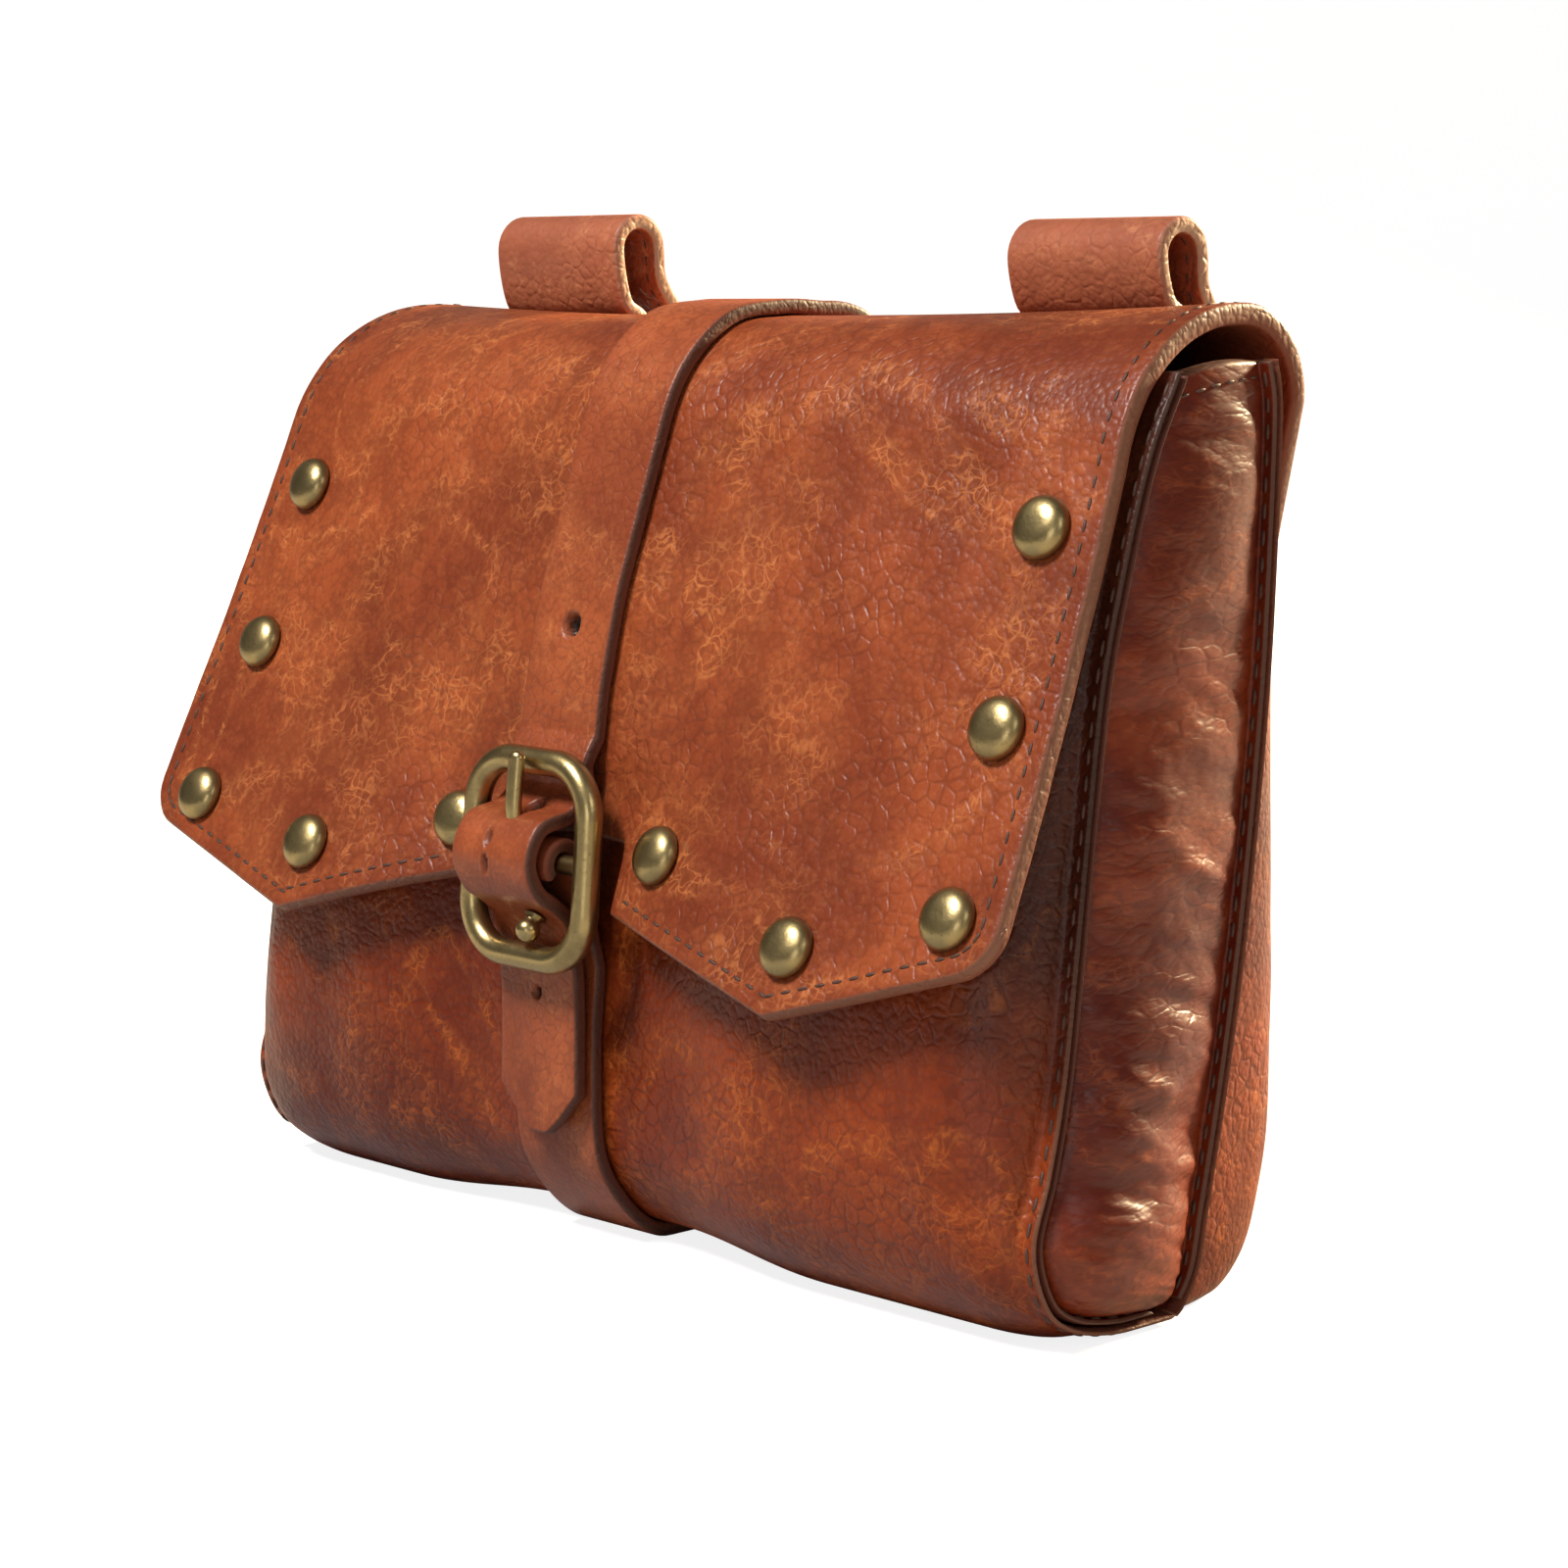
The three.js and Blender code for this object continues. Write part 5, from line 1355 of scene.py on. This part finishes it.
    def creases(self, points: Array, x: Array, along: Array) -> Array:
        """Soft unevenness of the flap, held flat at the strap, the rivets and the crest."""
        broad = ripples(points, (50, 50, 40), 3, 2) * 0.4
        small = ripples(points, (11, 14, 9), 9, 3) * 0.16
        free = smoothstep(np.abs(x - self.strap_x), 11.0, 22.0)
        level = smoothstep(along, 12.0, 34.0)
        for _, _, at_x, at_along in self.rivet_places():
            away = np.hypot(x - at_x, along - at_along)
            level = level * smoothstep(away, 3.0, 11.0)
            level = level - 0.45 * (1 - smoothstep(away, 3.6, 7.0))
        return np.clip((broad + small) * free * np.maximum(level, 0), -0.25, 0.6) + np.minimum(
            level, 0) * 0.3

    def rivet_places(self) -> list[tuple[Side, int, float, float]]:
        """Each rivet's side, number, and place across and along."""
        return [
            (side, i + 1, side.value * row[side.label] * FLAP_HALF,
             row[f"{side.label}_drop"] * self.drop)
            for side in Side
            for i, row in enumerate(RIVET_ROWS)
        ]

    def true_normal(self, x: Array, along: Array) -> Array:
        """The outer face's unit normal from two short steps over it."""
        across = self.place(x + 0.5, along)[0] - self.place(x - 0.5, along)[0]
        down = self.place(x, along + 0.5)[0] - self.place(x, along - 0.5)[0]
        normal = unit(np.cross(down, across))
        plain = self.place(x, along)[1]
        return np.where((normal * plain).sum(-1, keepdims=True) < 0, -normal, normal)

    def rivets(self) -> None:
        """Domed caps with a rolled rim, and their shanks and washers."""
        r, h = self.rivet_radius, self.rivet_height
        under = -(self.wall + GAP)
        turn = np.radians(np.linspace(4, 90, 16))
        dome = [(r * 0.985 * math.cos(t) ** 0.8, GAP + h * (0.16 + 0.84 * math.sin(t)))
                for t in turn]
        dome[-1] = (0.0, GAP + h)
        rim = [(1.4, GAP - 0.05), (r * 0.93, GAP - 0.12), (r * 0.985, GAP), (r, GAP + h * 0.08)]
        washer = [(0.0, under - 0.8), (2.9, under - 0.8), (3.2, under - 0.6), (3.2, under - 0.1),
                  (1.4, under)]
        points, faces = lathe([*washer, *rim, *dome], 48)
        edge = np.clip((points[:, 2] - GAP) / h, 0, 1)
        edge = np.where(points[:, 2] < 0, 0.2, edge)
        for side, number, x, along in self.rivet_places():
            at, normal = self.place(x, along)[0], self.true_normal(x, along)
            make_piece(f"rivet_{side.label}_{number}_cap", stood(points, at, normal), faces,
                       self.palette.brass, Slot.BRASS, [f"rivet_{side.label}_{number}"],
                       {"edge": edge})

    def stitches(self) -> None:
        """A row of small sunk stitches inside the flap's front and side edges."""
        line = self.outline()[:-2]
        middle = np.array([0.0, 50.0])
        walk, way = even_walk(line, FLAP_PITCH)
        across = np.stack([-way[:, 1], way[:, 0]], -1)
        across = np.where(((middle - walk) * across).sum(-1, keepdims=True) < 0, -across, across)
        inside = walk + across * 2.9
        keep = (distance_to_line(inside, line) > 2.6) & (inside[:, 1] > -20)
        keep &= np.abs(inside[:, 0] - self.strap_x) > 21
        spots, way = inside[keep], way[keep]
        places, ahead = self.place(*spots.T)[0], self.place(*(spots + way).T)[0]
        normal = self.true_normal(*spots.T)
        raised = places + normal * (self.creases(places, *spots.T) + 0.02)[:, None]
        made = stitch_row(raised, unit(ahead - places), normal, FLAP_STITCH)
        make_piece("stitches_flap", *made, self.palette.thread, Slot.BODY)

    def build(self) -> None:
        """Makes the flap, its rivets and its stitches."""
        make_sheet("flap_leather", self.sheet(), self.palette.flap, Slot.BODY, "flap")
        self.rivets()
        self.stitches()


# Straps, buckle and loops


def strip(
    path: Array, normal: Array, centre: Array | float, wall: float, half: Array, step: float,
    rounding: float = 0.7,
) -> tuple[Sheet, Array, Array]:
    """A strap: a flat section carried along a path, with its sides and ends cut.

    Args:
        path: The middle of the strap in the y-z plane.
        normal: The outer unit normals along it.
        centre: The strap's middle across.
        wall: The thickness.
        half: The half width at each place.
        step: The usual spacing across.
        rounding: How far in from the cut the edge is rounded.

    Returns:
        The strap as a sheet, and the place across and the distance along for each point.
    """
    widest = float(np.max(half))
    across = refined(2 * widest, step) / widest - 1
    x = across[None] * half[:, None]
    walked = walked_along(path)
    faces = []
    for lift in (wall / 2, -wall / 2):
        face = np.repeat((path + normal * lift)[:, None], len(across), 1)
        face[..., 0] = x + np.broadcast_to(np.asarray(centre, float).reshape(-1, 1),
                                          (len(path), 1))
        faces.append(face)
    slope = np.abs(np.gradient(half, walked))[:, None]
    side = (half[:, None] - np.abs(x)) / np.sqrt(1 + slope**2)
    edge = np.maximum(np.minimum(side, from_ends(path)), 0)
    edge[[0, -1], :] = 0
    edge[:, [0, -1]] = 0
    return Sheet(faces[0], faces[1], edge, rounding=rounding), x, walked[:, None] + 0 * x


def resample(path: Array, normal: Array, step: float) -> tuple[Array, Array]:
    """A path walked in even steps that crowd together at its two ends."""
    walked = walked_along(path)
    at = refined(walked[-1], step)
    return read_off(at, walked, path), unit(read_off(at, walked, normal))


def punched(
    sheet: Sheet, x: Array, along: Array, holes: Sequence[tuple[float, float, float, float]],
    depth: float,
) -> None:
    """Sinks round or long holes into a strap's outer face, and paints shade into them.

    Args:
        sheet: The strap.
        x: The place across of each point.
        along: The distance along of each point.
        holes: Place across, place along, half width and half length of each hole.
        depth: How deep they go.
    """
    normal = unit(sheet.outer - sheet.inner)
    for at_x, at_along, wide, long in holes:
        away = np.hypot((x - at_x) / wide, (along - at_along) / long)
        sink = depth * (1 - smoothstep(away, 0.72, 1.08))
        rim = 0.12 * np.exp(-((away - 1.35) / 0.22) ** 2)
        sheet.outer = sheet.outer - normal * (sink - rim)[..., None]
        # Painted shade inside each hole, near black in the colour.
        shade = 1 - smoothstep(away, 0.75, 1.02)
        sheet.shade = shade if sheet.shade is None else np.maximum(sheet.shade, shade)


STRAP_WAY = [
    (-0.156, 0.42), (-0.162, 0.309), (-0.07, 0.21), (0.112, 0.16),
    (0.182, 0.02), (0.128, -0.12), (0.025, -0.195), (-0.045, -0.265),
]


@dataclass
class Closure:
    """The closure strap, the buckle, and the strap that holds the buckle round the base."""

    palette: Palette
    body: Body
    flap: Flap
    strap_x: float = -3.6
    wall: float = 2.4
    width: float = 20.0
    tail_width: float = 17.6
    back_drop: float = 26.0
    tail_height: float = 18.0
    tail_clearance: float = 0.9
    hole_along: float = 75.0
    hole_radius: float = 1.9
    tail_hole_height: float = 40.0
    stud_height: float = 54.0
    holder_wall: float = 2.2
    holder_width: float = 18.4
    holder_end: float = 3.2
    buckle_x: float = -2.4
    buckle_width: float = 30.0
    buckle_height: float = 34.0
    buckle_radius: float = 10.0
    rod: float = 4.2
    bar_height: float = 61.0
    forward: float = 68.2
    tilt: float = 4.2
    bar_radius: float = 1.5
    prong_radius: float = 1.1
    fold_wrap: float = 220.0

    @property
    def bar(self) -> Array:
        """The middle of the buckle's centre bar."""
        return np.array([0.0, -self.forward, self.bar_height])

    def closure_path(self) -> tuple[Array, Array]:
        """The closure strap's middle: over the flap, then through the buckle to its tail."""
        lift = GAP + self.wall / 2
        start = -self.flap.rear_bend - self.back_drop
        along = np.arange(start, self.flap.strap_end + 0.01, 0.6)
        on_flap, normal = self.flap.place(np.full_like(along, self.strap_x), along, lift)
        on_flap[:, 0] = 0
        fullest = self.body.face(self.body.front, np.array(7.0), 1.0)[1] - GAP - self.holder_wall
        tail_y = fullest - self.tail_clearance - self.wall / 2
        bar = self.bar
        way = [on_flap[-1]]
        way += [np.array([0, bar[1] - f * self.buckle_height, bar[2] + a * self.buckle_height])
                for f, a in STRAP_WAY]
        way += [np.array([0, tail_y, self.bar_height - self.buckle_height / 2]),
                np.array([0, tail_y, self.tail_height])]
        free, free_normal = along_points(np.array(way), 260)
        return np.concatenate([on_flap, free[1:]]), np.concatenate([normal, free_normal[1:]])

    def closure_strap(self) -> None:
        """The closure strap with its pointed tail and punched holes."""
        path, normal = resample(*self.closure_path(), 0.55)
        walked = walked_along(path)
        start = self.flap.rear_bend + self.back_drop
        narrowed = np.clip(walked / (self.flap.strap_end + start), 0, 1)
        half = (self.width + (self.tail_width - self.width) * narrowed) / 2
        left = walked[-1] - walked
        half = half * np.clip(0.2 + 0.8 * (left / 7.0) ** 0.8, 0, 1)
        sheet, x, along = strip(path, normal, self.strap_x, self.wall, half, 0.45)
        tail_hole = walked[-1] - (self.tail_hole_height - self.tail_height)
        front = path[:, 1] < self.bar[1]
        stud_at = walked[front][np.abs(path[front, 2] - self.stud_height).argmin()]
        fold = walked[front][path[front, 1].argmin()]
        holes = [
            (0.0, start + self.hole_along, self.hole_radius, self.hole_radius),
            (0.0, tail_hole, 1.0, 1.0),
            (-0.9, fold - 2.6, 0.6, 1.1),
            (-0.9, fold + 0.9, 0.6, 1.1),
            (self.buckle_x - self.strap_x, fold - 10.2, 1.7, 2.6),
        ]
        punched(sheet, x, along, holes, self.wall * 0.85)
        make_sheet("closure_leather", sheet, self.palette.strap, Slot.STRAP, "closure_strap")
        at = int(np.abs(walked - stud_at).argmin())
        self.stud(path[at] + normal[at] * self.wall / 2, normal[at])

    def stud(self, at: Array, axis: Array) -> None:
        """The small button stud: washer, shank, neck and a round head."""
        r, under = 1.9, -(self.wall + GAP)
        turn = np.radians(np.linspace(-38, 90, 14))
        head = [(r * math.cos(t), GAP + r * 1.35 + r * 0.95 * math.sin(t)) for t in turn]
        head[-1] = (0.0, GAP + r * 2.3)
        profile = [(0.0, under - 0.8), (r, under - 0.8), (r, under), (0.8, under), (0.8, GAP),
                   (r * 0.9, GAP), (r * 0.92, GAP + 0.25), (r * 0.62, GAP + 0.5), *head]
        points, faces = lathe(profile, 32)
        edge = np.clip(points[:, 2] / (r * 2), 0, 1)
        make_piece("strap_stud_head", stood(points, at, axis), faces, self.palette.brass,
                   Slot.BRASS, ["strap_stud"], {"edge": edge})

    def holder_strap(self) -> None:
        """The strap folded round the centre bar, run under the base and up the back."""
        lift = GAP + self.holder_wall / 2
        turn = np.radians(np.linspace(self.fold_wrap, 0, 60))
        normal = in_plane(-np.cos(turn), -np.sin(turn))
        rows = [self.bar - normal * (self.bar_radius + lift)]
        normals = [normal]
        for curves, at in (
            (self.body.front, np.linspace(6, len(FRONT_ROWS) - 1, 160)),
            (self.body.rear, np.linspace(len(BACK_ROWS) - 1.6, self.holder_end, 150)),
        ):
            way = self.body.normal(curves, at, lambda t, c=curves: self.body.face(c, t, 1.0))
            rows.append(self.body.face(curves, at, 1.0) + way * lift)
            normals.append(way)
        path, normal = resample(np.concatenate(rows), np.concatenate(normals), 0.9)
        half = np.full(len(path), self.holder_width / 2)
        sheet, x, along = strip(path, normal, self.strap_x, self.holder_wall, half, 0.8)
        slot_at = float(along[np.abs(path[:, 1] - path[:70, 1].min()).argmin(), 0])
        punched(sheet, x, along, [(self.buckle_x - self.strap_x, slot_at, 1.7, 5.5)],
                self.holder_wall * 0.8)
        make_sheet("holder_leather", sheet, self.palette.strap, Slot.STRAP, "buckle_strap")

    def in_buckle(self, points: Array) -> Array:
        """Points of the buckle's own plane, tilted and moved to the centre bar."""
        turn = -math.radians(self.tilt)
        y = points[:, 1] * math.cos(turn) - points[:, 2] * math.sin(turn)
        z = points[:, 1] * math.sin(turn) + points[:, 2] * math.cos(turn)
        return np.stack([points[:, 0] + self.buckle_x, y - self.forward, z + self.bar_height], -1)

    def frame(self) -> None:
        """The frame: an ellipse carried round a rectangle with rounded corners, and its bar."""
        half = ((self.buckle_width - self.rod) / 2, (self.buckle_height - self.rod) / 2)
        corner = self.buckle_radius - self.rod / 2
        centre, side = [], []
        for quarter, (sx, sz) in enumerate(((1, 1), (-1, 1), (-1, -1), (1, -1))):
            turn = np.radians(np.linspace(0, 90, 25) + 90 * quarter)
            way = in_plane(np.zeros(25), np.sin(turn), np.cos(turn))
            middle = np.array([sx * (half[0] - corner), 0, sz * (half[1] - corner)])
            centre.append(middle + way * corner)
            side.append(way)
        path, side = np.concatenate(centre), np.concatenate(side)
        closed = np.concatenate([path, path[:1]])
        walked = walked_along(closed)
        at = np.linspace(0, walked[-1], 180, endpoint=False)
        ring = np.concatenate([side, side[:1]])
        path, side = read_off(at, walked, closed), unit(read_off(at, walked, ring))
        front = np.array([0.0, -1.0, 0.0])
        rim = swept(path, side, np.broadcast_to(front, path.shape),
                    np.full((len(path), 2), self.rod * 0.5), closed=True)
        bar_path = in_plane(np.zeros(20), np.zeros(20), np.linspace(-half[0], half[0], 20))
        bar = swept(bar_path, np.broadcast_to(np.array([0.0, 0.0, 1.0]), bar_path.shape),
                    np.broadcast_to(front, bar_path.shape),
                    np.full((20, 2), self.bar_radius), closed=False)
        points, faces = joined([rim, bar])
        edge = np.clip(0.55 - points[:, 1] / self.rod, 0, 1)
        make_piece("buckle_brass", self.in_buckle(points), faces, self.palette.brass,
                   Slot.BRASS, ["buckle_frame"], {"edge": edge})

    def prong(self) -> None:
        """The prong: a flattened rod from the centre bar forward and onto the top bar."""
        hold = self.bar_radius + GAP + self.prong_radius
        turn = np.radians([20, 60, 100, 130])
        bar = self.bar
        around = in_plane(bar[1] + hold * np.cos(turn), bar[2] + hold * np.sin(turn))
        rest = (self.buckle_height - self.rod) / 2
        front = bar[1] + math.tan(math.radians(self.tilt)) * rest - (
            self.rod / 2 + GAP + self.prong_radius + 0.2)
        reach = in_plane(
            np.array([front - 0.6, front - 0.4, front, front + 0.2]),
            bar[2] + np.array([rest * 0.45, rest * 0.75, rest * 0.98, rest + self.rod * 0.45]),
        )
        path, normal = along_points(np.concatenate([around, reach]), 90)
        walked = np.linspace(0, 1, len(path))
        end = np.sqrt(np.clip(1 - np.clip((walked - 0.94) / 0.06, 0, 1) ** 2, 0, 1))
        start = np.sqrt(np.clip(1 - np.clip((0.05 - walked) / 0.05, 0, 1) ** 2, 0, 1))
        grow = np.maximum(np.minimum(end, start), 0.02)
        sizes = np.stack([1.45 * grow, self.prong_radius * grow], -1)
        side = np.broadcast_to(np.array([1.0, 0.0, 0.0]), path.shape)
        points, faces = swept(path, side, normal, sizes, closed=False)
        points = points + np.array([self.buckle_x, 0.0, 0.0])
        make_piece("prong_brass", points, faces, self.palette.brass, Slot.BRASS,
                   ["buckle_prong"], {"edge": np.full(len(points), 0.8)})

    def build(self) -> None:
        """Makes the straps and the buckle."""
        self.closure_strap()
        self.holder_strap()
        self.frame()
        self.prong()


LOOP_ROWS = [
    (-0.75, 0.91), (-0.24, 0.836), (0.67, 0.742), (1, 0.62),
    (0.88, 0.47), (0.2, 0.32), (0, 0.207), (0, 0),
]


@dataclass
class BeltLoops:
    """Two loops sewn to the flap's back that stand above the crest."""

    palette: Palette
    flap: Flap
    width: float = 30.5
    spacing: float = 119.0
    shift: float = -4.7
    tops: dict[str, float] = field(default_factory=lambda: {"left": 158.2, "right": 155.9})
    foot: float = 98.0
    depth: float = 11.5
    forward: float = 10.0
    belly: float = 4.85
    wall: float = 2.5

    def path(self, top_height: float) -> tuple[Array, Array]:
        """The loop's middle: up the back, over the bend, round its top and down again."""
        foot_y = self.flap.back + GAP + self.wall / 2
        rear = foot_y + self.wall + GAP
        bend = np.array([self.flap.back - self.flap.rear_radius,
                         CREST_HEIGHT - self.flap.rear_radius])
        hold = self.flap.rear_radius + GAP + self.wall / 2
        radius = (self.depth - self.wall) / 2
        top = np.array([self.flap.back - self.forward + self.depth / 2,
                        top_height - self.wall / 2 - radius])

        def circle(middle: Array, size: float, degrees: Sequence[float]) -> Array:
            """Points on a circle of the y-z plane."""
            turn = np.radians(degrees)
            return in_plane(middle[0] + size * np.cos(turn), middle[1] + size * np.sin(turn))

        behind, above = np.array(LOOP_ROWS).T
        points = np.concatenate([
            in_plane(np.full(2, foot_y), np.array([self.foot, (self.foot + bend[1]) / 2])),
            circle(bend, hold, [0, 18, 36, 50, 62]),
            circle(top, radius, [180, 150, 120, 90, 60, 30, 0]),
            in_plane(rear + behind * self.belly, self.foot + above * (top[1] - self.foot)),
        ])
        return along_points(points, 420)

    def loop(self, side: Side) -> None:
        """One loop with stitches along both of its edges."""
        centre = self.shift + side.value * self.spacing / 2
        path, normal = resample(*self.path(self.tops[side.label]), 0.9)
        half = np.full(len(path), self.width / 2)
        sheet = strip(path, normal, centre, self.wall, half, 1.1, rounding=0.8)[0]
        make_sheet(f"loop_leather_{side.label}", sheet, self.palette.loop, Slot.BODY,
                   f"belt_loop_{side.label}")
        made = []
        for sign in (-1, 1):
            line = path + normal * (self.wall / 2)
            line[:, 0] = centre + sign * (self.width / 2 - 2.3)
            spots, way = even_walk(line, LOOP_PITCH)
            near = np.abs(spots[:, None, 1:] - line[None, :, 1:]).sum(-1).argmin(1)
            made.append(stitch_row(spots, way, normal[near], LOOP_STITCH))
        make_piece(f"stitches_loop_{side.label}", *joined(made), self.palette.thread, Slot.BODY)

    def build(self) -> None:
        """Makes both loops."""
        for side in Side:
            self.loop(side)


# Studio

LIGHTS = [
    {"name": "key", "place": (-0.15, -0.95, 1.45), "power": 38.0, "size": 0.4},
    {"name": "rim", "place": (0.2, 1.4, 0.6), "power": 90.0, "size": 0.3,
     "colour": (1.0, 0.8, 0.48)},
    {"name": "side", "place": (1.35, -0.25, 0.75), "power": 2.4, "size": 0.5},
    {"name": "front", "place": (0.8, -1.25, 0.3), "power": 2.0, "size": 0.5},
]


@dataclass
class Studio:
    """The pale floor, the soft lights and the camera."""

    camera_place: tuple[float, float, float] = (0.46589, -0.43374, 0.16102)
    camera_way: tuple[float, float, float] = (-0.71191, 0.68749, -0.14332)
    lens: float = 94.09
    sensor: float = 36.0
    aim: tuple[float, float, float] = (0.0, 0.0, 0.07)
    sky: float = 0.13
    floor_glow: float = 0.84

    def floor(self) -> None:
        """A pale floor that curves up into a wall: a quarter circle joins the two."""
        turn = np.radians(np.linspace(0, 90, 24))
        y = np.concatenate([[-6.0, -2.0, 0.0, 1.6], 1.6 + 1.2 * np.sin(turn), [2.8]])
        z = np.concatenate([[0.0] * 4, 1.2 * (1 - np.cos(turn)), [7.0]])
        x = np.linspace(-7, 7, 9)
        turned = math.radians(46)
        grid = in_plane(np.repeat(y[:, None], 9, 1), np.repeat(z[:, None], 9, 1), x[None])
        flat = grid.reshape(-1, 3)
        flat = np.stack([flat[:, 0] * math.cos(turned) - flat[:, 1] * math.sin(turned),
                         flat[:, 0] * math.sin(turned) + flat[:, 1] * math.cos(turned),
                         flat[:, 2]], -1)
        mesh = bpy.data.meshes.new("floor")
        mesh.from_pydata(flat.tolist(), [], grid_faces(len(y), 9).tolist())
        mesh.polygons.foreach_set("use_smooth", np.full(len(mesh.polygons), True))
        finish, desk = new_finish("floor")
        seen = desk.node("ShaderNodeLightPath").outputs["Is Camera Ray"]
        desk.surface({
            "Base Color": (0.4, 0.4, 0.4, 1), "Roughness": 0.9, "Specular IOR Level": 0.1,
            "Emission Color": (1.0, 1.0, 1.0, 1),
            "Emission Strength": desk.math("MULTIPLY", seen, self.floor_glow),
        })
        finish.cycles.emission_sampling = "NONE"
        mesh.materials.append(finish)
        floor = bpy.data.objects.new("floor", mesh)
        bpy.context.scene.collection.objects.link(floor)

    def light(self, name: str, place: Sequence[float], power: float, size: float,
              colour: Sequence[float] = (1, 1, 1)) -> None:
        """A square lamp that faces the pouch."""
        data = bpy.data.lights.new(name, "AREA")
        data.energy, data.size, data.color = power, size, colour
        lamp = bpy.data.objects.new(name, data)
        lamp.location = place
        way = Vector(self.aim) - Vector(place)
        lamp.rotation_euler = way.to_track_quat("-Z", "Y").to_euler()
        bpy.context.scene.collection.objects.link(lamp)

    def build(self) -> None:
        """Makes the floor, the lights, the sky and the camera."""
        self.floor()
        for row in LIGHTS:
            self.light(**row)
        world = bpy.data.worlds.new("studio")
        world.use_nodes = True
        background = world.node_tree.nodes["Background"]
        background.inputs["Color"].default_value = (1.0, 1.0, 1.0, 1)
        background.inputs["Strength"].default_value = self.sky
        bpy.context.scene.world = world
        bpy.context.scene.view_settings.view_transform = "Standard"
        data = bpy.data.cameras.new("camera")
        data.lens, data.sensor_width = self.lens, self.sensor
        data.clip_start, data.clip_end = 0.01, 50.0
        camera = bpy.data.objects.new("camera", data)
        camera.location = self.camera_place
        camera.rotation_euler = Vector(self.camera_way).to_track_quat("-Z", "Y").to_euler()
        bpy.context.scene.collection.objects.link(camera)
        bpy.context.scene.camera = camera


def main() -> None:
    """Builds the studio and the pouch."""
    logging.basicConfig(level=logging.INFO, format="%(name)s %(message)s")
    Studio().build()
    palette = Palette()
    body, flap = Body(palette), Flap(palette)
    for part in (body, flap, Closure(palette, body, flap), BeltLoops(palette, flap)):
        part.build()
        LOG.info("%s done", type(part).__name__)


if __name__ == "__main__":
    main()
